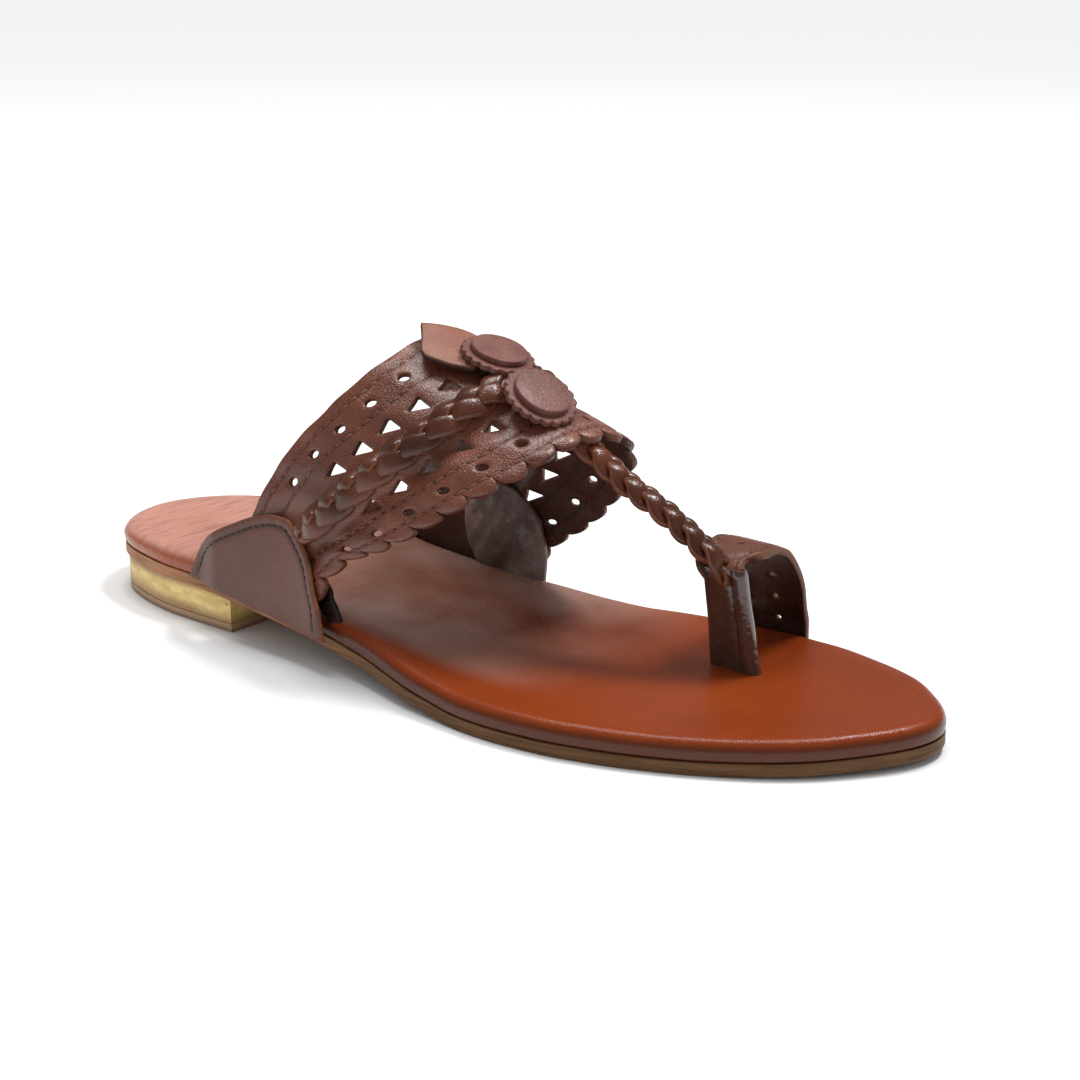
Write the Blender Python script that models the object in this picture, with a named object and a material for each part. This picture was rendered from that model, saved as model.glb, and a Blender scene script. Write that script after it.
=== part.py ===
"""A right kolhapuri sandal with a toe loop, a braided instep band and a low wooden heel.

The toe points along +X, the outer (lateral) side is -Y, the inner (medial) side is +Y and the floor
is z = 0. The straps are one leather wall formed over a last: each place on the last is given by its
distance from the heel, its turn around the instep from the outer base (-1) over the top (0) to the
inner base (+1), and its height off the last.
"""

import math

import bmesh
import bpy
import numpy as np
from mathutils import Matrix, Vector
from mathutils.geometry import delaunay_2d_cdt

MM = 0.001
GAP = 0.3 * MM

# Sole
LENGTH = 255 * MM
BALL_WIDTH = 90 * MM
HEEL_RISE = 10.8 * MM
TOE_SPRING = 1.7 * MM
OUTSOLE_THICK = 3.0 * MM
FOOTBED_THICK = 5.3 * MM
FOOTBED_ROUND = 2.4 * MM
HEEL_OVERHANG = 0.4 * MM
HEEL_OVERHANG_RUN = 45 * MM
HEEL_LENGTH = 64 * MM
HEEL_SET_IN = 0.8 * MM
LIFT_THICK = 2.4 * MM

# Last
INSTEP_HEIGHT = 81 * MM
VAMP_HEIGHT = 62.5 * MM
LAST_LATERAL = 36 * MM
LAST_MEDIAL = 31 * MM
LAST_LEAN = 3 * MM
ARCH_POWER = 2.3
INSTEP_AT = 0.4235
VAMP_AT = 0.6235
NARROW_FROM = 0.412
NARROW_RUN = 0.196

# Straps
BAND_THICK = 2.0 * MM
ROUND_HOLE = 3.1 * MM
TRIANGLE_HOLE = 5.6 * MM
SCALLOP_PITCH = 7.95 * MM
SCALLOP_DEPTH = 2.8 * MM
BRAID_WIDTH = 9.5 * MM
BRAID_HEIGHT = 3.4 * MM
BRAID_PITCH = 7.3 * MM
TOE_BRAID_WIDTH = 9 * MM
TOE_BRAID_THICK = 5 * MM
LOOP_HEIGHT = 38 * MM
LOOP_WIDTH = 17.5 * MM
LOOP_THICK = 2.0 * MM
POST_WIDTH = 13.4 * MM
POST_THICK = 3.6 * MM
WING_THICK = 1.4 * MM
WING_RAMP_AT = 0.212
WING_RAMP_RUN = 0.038
BAND_SCALE = (95 * MM, 50 * MM)
WING_SCALE = (1, 110 * MM)
RIM_CLEAR = 1.3 * MM
RUN_STEPS = 401

# Ornaments
FLAP_LENGTH = 20.2 * MM
FLAP_WIDTH = 17 * MM
FLAP_SKEW = 5 * MM
FLAP_THICK = 1.6 * MM
FLAP_LIFT = 1.0 * MM
DISC_SIZE = 19.5 * MM
CAP_SIZE = 14.9 * MM
DISC_THICK = 1.4 * MM
CAP_THICK = 1.5 * MM
DISC_TEETH = 20
TOOTH_DEPTH = 0.8 * MM

# Plan of the sole: share of LENGTH from the heel, then the outer and the inner half width as shares
# of BALL_WIDTH, both from the straight line through the middle of the heel.
OUTLINE = (
    (0.00, 0.000, 0.000),
    (0.02, 0.172, 0.155),
    (0.05, 0.253, 0.238),
    (0.10, 0.311, 0.304),
    (0.16, 0.344, 0.338),
    (0.25, 0.353, 0.338),
    (0.35, 0.368, 0.308),
    (0.45, 0.416, 0.312),
    (0.55, 0.486, 0.371),
    (0.65, 0.518, 0.449),
    (0.70, 0.508, 0.471),
    (0.76, 0.470, 0.481),
    (0.82, 0.408, 0.473),
    (0.88, 0.320, 0.429),
    (0.93, 0.218, 0.364),
    (0.97, 0.092, 0.262),
    (1.00, -0.098, 0.098),
)

# Underside of the sole: share of LENGTH, then the height as a share of HEEL_RISE.
ARCH = (
    (0.00, 0.970),
    (0.12, 1.000),
    (0.18, 0.985),
    (0.25, 0.880),
    (0.35, 0.650),
    (0.50, 0.325),
    (0.56, 0.130),
    (0.62, 0.000),
    (1.00, 0.000),
)
SPRING_START = 0.80

# Edges of the instep band: turn around the last, then the rear and the front edge as shares of LENGTH.
BAND_EDGES = (
    (-1.00, 0.259, 0.400),
    (-0.90, 0.279, 0.408),
    (-0.86, 0.288, 0.418),
    (-0.80, 0.302, 0.443),
    (-0.75, 0.313, 0.478),
    (-0.63, 0.344, 0.533),
    (-0.50, 0.381, 0.577),
    (-0.34, 0.411, 0.612),
    (-0.18, 0.425, 0.627),
    (0.00, 0.427, 0.632),
    (0.18, 0.418, 0.634),
    (0.34, 0.395, 0.629),
    (0.50, 0.367, 0.615),
    (0.63, 0.341, 0.587),
    (0.75, 0.312, 0.551),
    (0.86, 0.288, 0.503),
    (1.00, 0.259, 0.462),
)

# Rows of holes: share across the band, first hole's distance from the middle, pitch, holes on each
# side and whether the holes are triangles.
HOLE_ROWS = (
    (0.15, 8.0 * MM, 10.1 * MM, 6, False),
    (0.335, 13.2 * MM, 8.9 * MM, 5, True),
    (0.67, 15.8 * MM, 9.3 * MM, 5, True),
    (0.85, 5.6 * MM, 10.8 * MM, 7, False),
)
BRAID_PLACE = 0.52
BRAID_END = 0.775

# Upper edge of a wing: share of LENGTH, then the turn down from the top where the edge lies.
WING_EDGE = (
    (0.196, 1.00),
    (0.220, 0.92),
    (0.249, 0.875),
    (0.274, 0.845),
    (0.304, 0.81),
    (0.335, 0.785),
    (0.355, 0.78),
    (0.365, 0.79),
    (0.382, 0.815),
    (0.395, 0.845),
    (0.404, 0.895),
    (0.412, 0.93),
    (0.418, 1.00),
)

# Path of the toe loop from its foot at the sole's inner edge over the toe and down the post: shares of
# LENGTH, of BALL_WIDTH and of LOOP_HEIGHT, then how far the strap has turned into the post.
LOOP_PATH = (
    (0.747, 0.480, 0.28, 0.0),
    (0.749, 0.470, 0.43, 0.0),
    (0.751, 0.442, 0.60, 0.0),
    (0.753, 0.390, 0.78, 0.0),
    (0.755, 0.322, 0.92, 0.0),
    (0.757, 0.245, 0.97, 0.0),
    (0.760, 0.170, 0.97, 0.1),
    (0.766, 0.115, 0.93, 0.3),
    (0.774, 0.095, 0.85, 0.6),
    (0.779, 0.097, 0.72, 0.8),
    (0.781, 0.108, 0.55, 0.9),
    (0.783, 0.120, 0.38, 1.0),
)
POST_PLACE = (0.7835, 0.126)

# Middle of the toe braid: shares of LENGTH, BALL_WIDTH and VAMP_HEIGHT.
TOE_BRAID_PATH = (
    (0.590, 0.044, 1.010),
    (0.625, 0.053, 0.935),
    (0.661, 0.064, 0.835),
    (0.706, 0.074, 0.738),
    (0.741, 0.086, 0.640),
    (0.768, 0.098, 0.565),
)

# Outline of the pointed flap from its tip: share of FLAP_LENGTH, then its half width as a share of
# FLAP_WIDTH.
FLAP_OUTLINE = (
    (0.00, 0.00),
    (0.08, 0.10),
    (0.20, 0.26),
    (0.34, 0.45),
    (0.45, 0.50),
    (0.70, 0.50),
    (1.00, 0.44),
)
FLAP_TIP = 0.424

REAR_ROSETTE = (0.504, -0.01)
FRONT_ROSETTE = (0.572, -0.08)
FRONT_ROSETTE_LEAN = 15

STATIONS = 34

DARK_LEATHER = ((0.100, 0.040, 0.026), 0.45, 0.0)
TAN_LEATHER = ((0.330, 0.085, 0.030), 0.35, 0.0)
SOLE_LEATHER = ((0.420, 0.210, 0.110), 0.60, 0.0)
WOOD = ((0.700, 0.520, 0.200), 0.55, 0.0)
LIFT_RUBBER = ((0.300, 0.180, 0.110), 0.70, 0.0)


def smooth(xs, ys, x):
    """A smooth curve through the points that never overshoots them."""
    xs = np.asarray(xs, float)
    ys = np.asarray(ys, float)
    step = np.diff(xs)
    rise = np.diff(ys) / step
    slope = np.empty_like(ys)
    slope[0], slope[-1] = rise[0], rise[-1]
    for i in range(1, len(xs) - 1):
        before, after = rise[i - 1], rise[i]
        if before * after <= 0:
            slope[i] = 0
        else:
            weight = (2 * step[i] + step[i - 1]) / before + (step[i] + 2 * step[i - 1]) / after
            slope[i] = 3 * (step[i - 1] + step[i]) / weight
    k = np.clip(np.searchsorted(xs, x, side="right") - 1, 0, len(xs) - 2)
    t = (x - xs[k]) / step[k]
    start = (1 + 2 * t) * (1 - t) ** 2 * ys[k] + t * (1 - t) ** 2 * step[k] * slope[k]
    end = t * t * (3 - 2 * t) * ys[k + 1] + t * t * (t - 1) * step[k] * slope[k + 1]
    return start + end


def column(table, n):
    return [row[n] for row in table]


def half_width(x, side):
    """Half width of the sole at x: side -1 is the outer one, +1 the inner one."""
    turn = np.arccos(1 - 2 * np.clip(x / LENGTH, 0, 1))
    turns = np.arccos(1 - 2 * np.array(column(OUTLINE, 0)))
    return BALL_WIDTH * smooth(turns, column(OUTLINE, 1 if side < 0 else 2), turn)


def underside(x):
    """Height of the outsole's lower face above the floor."""
    share = np.clip(x / LENGTH, 0, 1)
    spring = np.clip((share - SPRING_START) / (1 - SPRING_START), 0, 1) ** 2
    return HEEL_RISE * smooth(column(ARCH, 0), column(ARCH, 1), share) + TOE_SPRING * spring


def seat(x):
    """Height of the seam between outsole and footbed, where straps end."""
    return underside(x) + OUTSOLE_THICK + GAP


LOOP_FOOT_X = LOOP_PATH[0][0] * LENGTH + np.linspace(-0.5, 0.5, 9) * LOOP_WIDTH
LOOP_FOOT_Y = half_width(LOOP_FOOT_X, 1).max() + GAP + LOOP_THICK / 2
WIDEST = np.linspace(0.5, 0.8, 61) * LENGTH
BOX_LATERAL = half_width(WIDEST, -1).max()
BOX_MEDIAL = LOOP_FOOT_Y + LOOP_THICK / 2
CENTRE = Vector(((LENGTH - HEEL_OVERHANG) / 2, (BOX_MEDIAL - BOX_LATERAL) / 2, 0))


def material(name, look):
    colour, roughness, metallic = look
    made = bpy.data.materials.new(name)
    made.use_nodes = True
    shader = made.node_tree.nodes["Principled BSDF"]
    shader.inputs["Base Color"].default_value = (*colour, 1)
    shader.inputs["Roughness"].default_value = roughness
    shader.inputs["Metallic"].default_value = metallic
    made.diffuse_color = (*colour, 1)
    return made


def finish(name, bm, look, angle=35):
    """Turn a bmesh into an object whose origin is the sandal's own."""
    bmesh.ops.remove_doubles(bm, verts=bm.verts, dist=0.000001)
    bmesh.ops.recalc_face_normals(bm, faces=bm.faces)
    mesh = bpy.data.meshes.new(name)
    bm.to_mesh(mesh)
    bm.free()
    mesh.shade_smooth()
    mesh.set_sharp_from_angle(angle=math.radians(angle))
    made = bpy.data.objects.new(name, mesh)
    bpy.context.collection.objects.link(made)
    mesh.materials.append(material(name, look))
    return made


def plan_ring(inset, x_end, stations):
    """Points around the sole's plan, moved in by inset(x), up to x_end, from the heel's back."""
    last_turn = math.acos(1 - 2 * min(x_end / LENGTH, 1))
    turns = np.linspace(0, last_turn, stations)
    xs = LENGTH * (1 - np.cos(turns)) / 2
    cut_off = x_end < LENGTH

    def side_points(side):
        ys = side * half_width(xs, side)
        before = np.gradient(xs), np.gradient(ys)
        size = np.hypot(*before)
        normal_x, normal_y = -side * before[1] / size, side * before[0] / size
        normal_x[0], normal_y[0] = -1, 0
        if not cut_off:
            normal_x[-1], normal_y[-1] = 1, 0
        move = inset(xs)
        moved_x = xs - normal_x * move
        if cut_off:
            moved_x = np.minimum(moved_x, x_end)
            moved_x[-1] = x_end
        return list(zip(moved_x, ys - normal_y * move))

    lateral, medial = side_points(-1), side_points(1)
    return lateral, medial


def slab(name, look, rings, x_end=LENGTH, stations=STATIONS):
    """A solid of plan rings from bottom to top; each ring is (inset(x), height(x))."""
    bm = bmesh.new()
    loops = []
    sides = []
    for inset, height in rings:
        lateral, medial = plan_ring(inset, x_end, stations)
        tip_end = medial[-1:] if x_end < LENGTH else []
        around = lateral + tip_end + medial[-2:0:-1]
        verts = [bm.verts.new((x, y, height(np.float64(x)))) for x, y in around]
        loops.append(verts)
        low = verts[: len(lateral)]
        high = [verts[0]] + verts[len(lateral):][::-1]
        if x_end >= LENGTH:
            high.append(verts[len(lateral) - 1])
        sides.append((low, high))
    for below, above in zip(loops, loops[1:]):
        for i in range(len(below)):
            j = (i + 1) % len(below)
            bm.faces.new((below[i], below[j], above[j], above[i]))
    for low, high in (sides[0], sides[-1]):
        for i in range(len(low) - 1):
            corners = []
            for vert in (low[i], low[i + 1], high[i + 1], high[i]):
                if vert not in corners:
                    corners.append(vert)
            bm.faces.new(corners)
    return finish(name, bm, look)


def last_frame(x, turn):
    """Place on the last without its height."""
    share = x / LENGTH
    base = seat(x)
    drop = (VAMP_HEIGHT - INSTEP_HEIGHT) / (VAMP_AT - INSTEP_AT)
    rise = INSTEP_HEIGHT + drop * (share - INSTEP_AT) - base
    toward = np.clip((share - NARROW_FROM) / NARROW_RUN, 0, 1)
    held = np.minimum(x, NARROW_FROM * LENGTH)
    lateral = (half_width(held, -1) + GAP) * (1 - toward) + LAST_LATERAL * toward
    medial = (half_width(held, 1) + GAP) * (1 - toward) + LAST_MEDIAL * toward
    angle = turn * math.pi / 2
    s, c = np.sin(angle), np.cos(angle)
    reach = (np.abs(s) ** ARCH_POWER + np.abs(c) ** ARCH_POWER) ** (-1 / ARCH_POWER)
    width = np.where(turn < 0, lateral, medial)
    up = c * reach
    return np.array([x + 0 * turn, width * s * reach + LAST_LEAN * up, base + rise * up])


def on_last(x, turn, off=0.0):
    """Point at x and turn, lifted off the last along its outward normal."""
    x, turn = np.asarray(x, float), np.asarray(turn, float)
    dx, dt = 0.5 * MM, 0.004
    here = last_frame(x, turn)
    along = last_frame(x + dx, turn) - last_frame(x - dx, turn)
    around = last_frame(x, turn + dt) - last_frame(x, turn - dt)
    normal = np.cross(around.T, along.T).T
    normal = normal / np.linalg.norm(normal, axis=0)
    normal = np.where(normal[2] * here[2] + normal[1] * here[1] < 0, -normal, normal)
    return here + normal * off


def band_place(turn, across, off=0.0):
    """Point of the instep band: across runs from its rear edge (0) to its front edge (1)."""
    rear = LENGTH * smooth(column(BAND_EDGES, 0), column(BAND_EDGES, 1), turn)
    front = LENGTH * smooth(column(BAND_EDGES, 0), column(BAND_EDGES, 2), turn)
    return on_last(rear + (front - rear) * across, turn, off)


def band_runs(across):
    """Turns from the outer to the inner base and the distance along the band to each, 0 in its middle."""
    turns = np.linspace(-1, 1, RUN_STEPS)
    points = band_place(turns, np.full_like(turns, across))
    runs = np.concatenate(([0], np.cumsum(np.linalg.norm(np.diff(points, axis=1), axis=0))))
    return turns, runs - np.interp(0, turns, runs)


def turn_at(across, run):
    """Turn of the place that lies run metres along the band from its middle."""
    turns, runs = band_runs(across)
    return np.interp(run, runs, turns)


def band_run(across):
    """Distance along the band from its middle to its outer and to its inner end."""
    runs = band_runs(across)[1]
    return runs[0], runs[-1]


def inside(loops, points):
    """Which points lie inside the outline and outside every hole."""
    odd = np.zeros(len(points), bool)
    for loop in loops:
        loop = np.asarray(loop)
        ahead = np.roll(loop, -1, axis=0)
        for (x1, y1), (x2, y2) in zip(loop, ahead):
            spans = (y1 > points[:, 1]) != (y2 > points[:, 1])
            if y1 != y2:
                odd ^= spans & (points[:, 0] < (x2 - x1) * (points[:, 1] - y1) / (y2 - y1) + x1)
    return odd


def leather(name, look, loops, fill, scale, place, low, high):
    """A pattern cut flat, with holes, then formed into a wall between the heights low and high.

    The loops and the fill points are pattern coordinates. The first loop is the outline. The scale
    turns pattern coordinates into about real lengths, so that the triangles come out even.
    """
    scale = np.array(scale)
    rims = np.concatenate([np.asarray(loop) for loop in loops])
    fill = np.asarray(fill)
    kept = inside(loops, fill)
    for rim in rims:
        kept &= np.linalg.norm((fill - rim) * scale, axis=1) > RIM_CLEAR
    points = np.concatenate((rims, fill[kept]))
    edges, start = [], 0
    for loop in loops:
        count = len(loop)
        edges += [(start + i, start + (i + 1) % count) for i in range(count)]
        start += count
    flat = [Vector(p) for p in points * scale / MM]
    found, _, faces, *_ = delaunay_2d_cdt(flat, edges, [], 0, 0.00001)
    spots = np.array([(v.x, v.y) for v in found]) * MM / scale
    middles = np.array([spots[list(face)].mean(axis=0) for face in faces])
    faces = [face for face, good in zip(faces, inside(loops, middles)) if good]
    bm = bmesh.new()
    layers = []
    for height in (low, high):
        off = height(spots[:, 0], spots[:, 1])
        formed = place(spots[:, 0], spots[:, 1], off)
        layers.append([bm.verts.new(p) for p in formed.T])
    used = {}
    for face in faces:
        bm.faces.new([layers[1][i] for i in face])
        bm.faces.new([layers[0][i] for i in reversed(face)])
        for i, j in zip(face, face[1:] + face[:1]):
            used[i, j] = True
    for i, j in used:
        if (j, i) not in used:
            bm.faces.new((layers[1][j], layers[1][i], layers[0][i], layers[0][j]))
    for vert in [vert for vert in bm.verts if not vert.link_faces]:
        bm.verts.remove(vert)
    return finish(name, bm, look)


def band_hole(across, run, triangle):
    """Outline of one punched hole in the band's pattern coordinates."""
    turn = turn_at(across, run)
    here = band_place(turn, across)
    per_turn = np.linalg.norm(band_place(turn + 0.01, across) - here) / 0.01
    per_share = np.linalg.norm(band_place(turn, across + 0.01) - here) / 0.01
    corners = 3 if triangle else 8
    radius = TRIANGLE_HOLE / math.sqrt(3) if triangle else ROUND_HOLE / 2
    angles = math.pi / 2 + 2 * math.pi * np.arange(corners) / corners
    return [(turn + radius * math.cos(a) / per_turn, across + radius * math.sin(a) / per_share)
            for a in angles]


def band_outline():
    """Outline of the band: plain rear edge and ends, scalloped front edge."""
    rear = [(turn_at(0, run), 0.0) for run in np.linspace(*band_run(0), 40)]
    medial_end = [(1.0, across) for across in np.linspace(0, 1, 6)[1:-1]]
    lateral_end = [(-1.0, across) for across in np.linspace(1, 0, 6)[1:-1]]
    start, end = band_run(1)
    lobes = round((end - start) / SCALLOP_PITCH)
    pitch = (end - start) / lobes
    front = []
    for lobe in range(lobes):
        for step in range(5):
            angle = math.pi * step / 5
            run = end - pitch * (lobe + (1 - math.cos(angle)) / 2)
            turn = turn_at(1, run)
            width = np.linalg.norm(band_place(turn, 1) - band_place(turn, 0))
            front.append((turn, 1 - SCALLOP_DEPTH / width * (1 - math.sin(angle))))
    front.append((-1.0, 1 - SCALLOP_DEPTH / width))
    return rear + medial_end + front + lateral_end


def plait(along, side):
    """Swell of a three-strand braid: along in pitches, side from -1 to 1 across it."""
    phase = along + np.where(side < 0, 0.5, 0) + 0.35 * np.abs(side)
    lobe = np.abs(np.cos(math.pi * phase))
    return np.sqrt(np.maximum(0, 1 - side * side)) * (0.66 + 0.34 * lobe)


def band_height(turn, across):
    """Height of the band's outer face over the last, with the braid raised on it."""
    middle = band_place(turn, BRAID_PLACE)
    width = np.linalg.norm(band_place(turn, BRAID_PLACE + 0.05) - middle, axis=0) / 0.05
    side = (across - BRAID_PLACE) * width / (BRAID_WIDTH / 2)
    turns, runs = band_runs(BRAID_PLACE)
    along = (np.interp(turn, turns, runs) - runs[0]) / BRAID_PITCH
    raised = np.where(np.abs(side) < 1.001, BRAID_HEIGHT * plait(along, np.clip(side, -1, 1)), 0)
    beside_wing = np.clip((BRAID_END - np.abs(turn)) / 0.03, 0, 1)
    return BAND_THICK + raised * beside_wing


def make_band():
    holes = []
    for across, first, pitch, count, triangle in HOLE_ROWS:
        for side in (-1, 1):
            for k in range(count):
                holes.append(band_hole(across, side * (first + k * pitch), triangle))
    fill = []
    for across in (0.08, 0.25, 0.42, 0.58, 0.77, 0.93):
        fill += [(turn_at(across, run), across) for run in np.linspace(*band_run(across), 34)[1:-1]]
    start, end = band_run(BRAID_PLACE)
    rows = round((end - start) / BRAID_PITCH * 4)
    for k in range(1, rows):
        turn = float(turn_at(BRAID_PLACE, start + (end - start) * k / rows))
        here = band_place(turn, BRAID_PLACE)
        width = np.linalg.norm(band_place(turn, BRAID_PLACE + 0.05) - here) / 0.05
        half = BRAID_WIDTH / 2 / width
        sides = (-1, -0.55, 0, 0.55, 1) if k % 2 else (-0.85, -0.3, 0.3, 0.85)
        fill += [(turn, BRAID_PLACE + half * side) for side in sides]
    loops = [band_outline()] + holes
    return leather("upper", DARK_LEATHER, loops, fill, BAND_SCALE, band_place,
                   lambda turn, across: 0 * turn, band_height)


def loft(name, look, rings):
    """A solid through rings of equal count, closed at both ends."""
    bm = bmesh.new()
    made = [[bm.verts.new(point) for point in ring] for ring in rings]
    for before, after in zip(made, made[1:]):
        for i in range(len(before)):
            j = (i + 1) % len(before)
            bm.faces.new((before[i], before[j], after[j], after[i]))
    bm.faces.new(list(reversed(made[0])))
    bm.faces.new(made[-1])
    return finish(name, bm, look)


def spline(points, count):
    """Evenly spread points on a smooth curve through the given ones, with their directions."""
    points = np.asarray(points, float)
    steps = np.linalg.norm(np.diff(points[:, :3], axis=0), axis=1)
    knots = np.concatenate(([0], np.cumsum(steps)))
    runs = np.linspace(0, knots[-1], count)
    curve = np.array([smooth(knots, points[:, n], runs) for n in range(points.shape[1])]).T
    ahead = np.gradient(curve[:, :3], axis=0)
    return curve, ahead / np.linalg.norm(ahead, axis=1)[:, None], runs


def loop_points():
    """Middle line of the toe loop and its post, with the strap's turn into the post."""
    foot_x = LOOP_PATH[0][0] * LENGTH
    low = OUTSOLE_THICK + GAP
    rows = [(foot_x, LOOP_FOOT_Y, low, 0.0)]
    for n, (x, y, z, into_post) in enumerate(LOOP_PATH):
        y_here = LOOP_FOOT_Y if n == 0 else y * BALL_WIDTH
        rows.append((x * LENGTH, y_here, z * LOOP_HEIGHT, into_post))
    post_x, post_y = POST_PLACE[0] * LENGTH, POST_PLACE[1] * BALL_WIDTH
    top = OUTSOLE_THICK + FOOTBED_THICK
    rows.append((post_x, post_y, top + 2 * GAP, 1.0))
    rows.append((post_x, post_y, low, 1.0))
    return rows


def make_loop():
    curve, ahead, _ = spline(loop_points(), 30)
    ahead[0] = (0, 0, 1)
    ahead[-1] = (0, 0, -1)
    rings = []
    for (x, y, z, into_post), direction in zip(curve, ahead):
        width = LOOP_WIDTH + (POST_WIDTH - LOOP_WIDTH) * into_post
        thick = LOOP_THICK + (POST_THICK - LOOP_THICK) * into_post
        middle = np.array((x, y, z))
        across = np.array((1.0, 0, 0)) - direction * direction[0]
        across = across / np.linalg.norm(across)
        out = np.cross(direction, across)
        ring = []
        for wide, deep in ((-1, -1), (1, -1), (1, 1), (-1, 1)):
            ring.append(middle + across * wide * width / 2 + out * deep * thick / 2)
        rings.append(ring)
    return loft("toe_loop_form", DARK_LEATHER, rings)


def make_toe_braid():
    shares = np.array(TOE_BRAID_PATH) * (LENGTH, BALL_WIDTH, VAMP_HEIGHT)
    length = np.linalg.norm(np.diff(shares, axis=0), axis=1).sum()
    curve, ahead, runs = spline(shares, round(length / BRAID_PITCH * 4))
    rings = []
    for middle, direction, run in zip(curve, ahead, runs):
        across = np.cross((0, 0, 1.0), direction)
        across = across / np.linalg.norm(across)
        out = np.cross(direction, across)
        ring = []
        for angle in np.arange(8) * math.pi / 4 + math.pi / 8:
            side = math.cos(angle)
            swell = 0.80 + 0.20 * abs(math.cos(math.pi * (run / BRAID_PITCH + (0.5 if side < 0 else 0))))
            wide = TOE_BRAID_WIDTH / 2 * side * swell
            deep = TOE_BRAID_THICK / 2 * math.sin(angle) * swell
            ring.append(middle + across * wide + out * deep)
        rings.append(ring)
    return loft("toe_braid_form", DARK_LEATHER, rings)


def combine(body, other, operation):
    """Join the other solid to the body, or cut it out; the other solid stays as a wire guide."""
    other.hide_render = True
    other.display_type = "WIRE"
    step = body.modifiers.new(other.name, "BOOLEAN")
    step.operation = operation
    step.object = other
    step.solver = "EXACT"


def make_upper():
    upper = make_band()
    combine(upper, make_toe_braid(), "UNION")
    combine(upper, make_loop(), "UNION")
    return upper


def make_wing(name, side):
    """Side flap over the band's end, from the seam up to its curved edge."""
    xs = np.array(column(WING_EDGE, 0)) * LENGTH
    edge = np.array(column(WING_EDGE, 1))
    steps = np.concatenate([np.linspace(a, b, 3)[:-1] for a, b in zip(xs, xs[1:])] + [xs[-1:]])
    top = [(x, side * turn) for x, turn in zip(steps, np.minimum(smooth(xs, edge, steps), 1))]
    bottom = [(x, side * 1.0) for x in np.linspace(xs[-1], xs[0], 12)[1:-1]]
    fill = [(x, side * turn) for x in np.linspace(xs[0], xs[-1], 13) for turn in (0.96, 0.92, 0.88)]

    def low(x, turn):
        over_band = np.clip((x / LENGTH - WING_RAMP_AT) / WING_RAMP_RUN, 0, 1)
        return (BAND_THICK + GAP) * over_band * over_band * (3 - 2 * over_band)

    return leather(name, DARK_LEATHER, [top + bottom], fill, WING_SCALE, on_last, low,
                   lambda x, turn: low(x, turn) + WING_THICK)


def flap_place(x, side, off):
    """Point of the flap: side is the distance from its own middle line, which runs askew."""
    ahead = (x - FLAP_TIP * LENGTH) / FLAP_LENGTH
    middle = REAR_ROSETTE[1] - FLAP_SKEW * (1 - ahead) / (LAST_LATERAL * math.pi / 2)
    return on_last(x, middle + side / (LAST_LATERAL * math.pi / 2), off)


def make_flap():
    tip = FLAP_TIP * LENGTH
    shares = np.array(column(FLAP_OUTLINE, 0))
    steps = np.concatenate([np.linspace(a, b, 3)[:-1] for a, b in zip(shares, shares[1:])] + [[1.0]])
    halves = FLAP_WIDTH * smooth(shares, column(FLAP_OUTLINE, 1), steps)
    near = [(tip + FLAP_LENGTH * s, -h) for s, h in zip(steps, halves)]
    far = [(x, -y) for x, y in near[:0:-1]]
    fill = [(tip + FLAP_LENGTH * s, FLAP_WIDTH * w)
            for s in np.linspace(0.15, 0.95, 7) for w in (-0.3, -0.1, 0.1, 0.3)]

    def low(x, side):
        back = np.clip(1 - (x - tip) / (FLAP_LENGTH * 0.6), 0, 1)
        return BAND_THICK + BRAID_HEIGHT - FLAP_THICK + FLAP_LIFT * back

    return leather("top_flap", DARK_LEATHER, [near + far], fill, (1, 1), flap_place, low,
                   lambda x, side: low(x, side) + FLAP_THICK)


def disc(name, size, thick, tooth, centre, rotation):
    """A round leather disc; with a tooth depth its rim is toothed."""
    bm = bmesh.new()
    count = 2 * DISC_TEETH if tooth else 28
    angles = 2 * math.pi * np.arange(count) / count
    radii = [size / 2 - (tooth if n % 2 else 0) for n in range(count)]
    bottom = [bm.verts.new((r * math.cos(a), r * math.sin(a), 0)) for a, r in zip(angles, radii)]
    base = bm.faces.new(bottom)
    raised = bmesh.ops.extrude_face_region(bm, geom=[base])
    top = [v for v in raised["geom"] if isinstance(v, bmesh.types.BMVert)]
    bmesh.ops.translate(bm, verts=top, vec=(0, 0, thick))
    made = finish(name, bm, DARK_LEATHER)
    made.location = centre
    made.rotation_mode = "QUATERNION"
    made.rotation_quaternion = rotation
    return made


def make_rosette(which, place, off, lean):
    """A toothed disc and a smooth cap, square to the last there and leant forward."""
    x, turn = place[0] * LENGTH, place[1]
    foot = on_last(x, turn, off)
    normal = Vector(on_last(x, turn, off + MM) - foot).normalized()
    rotation = Vector((0, 0, 1)).rotation_difference(normal)
    rotation = Matrix.Rotation(math.radians(lean), 3, "Y").to_quaternion() @ rotation
    up = rotation @ Vector((0, 0, 1))
    foot = Vector(foot)
    disc(f"rosette_{which}_disc", DISC_SIZE, DISC_THICK, TOOTH_DEPTH, foot, rotation)
    disc(f"rosette_{which}_cap", CAP_SIZE, CAP_THICK, 0, foot + up * (DISC_THICK + GAP), rotation)


def same(value):
    return lambda x: value + 0 * x


def over(height, extra):
    return lambda x: height(x) + extra


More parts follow.
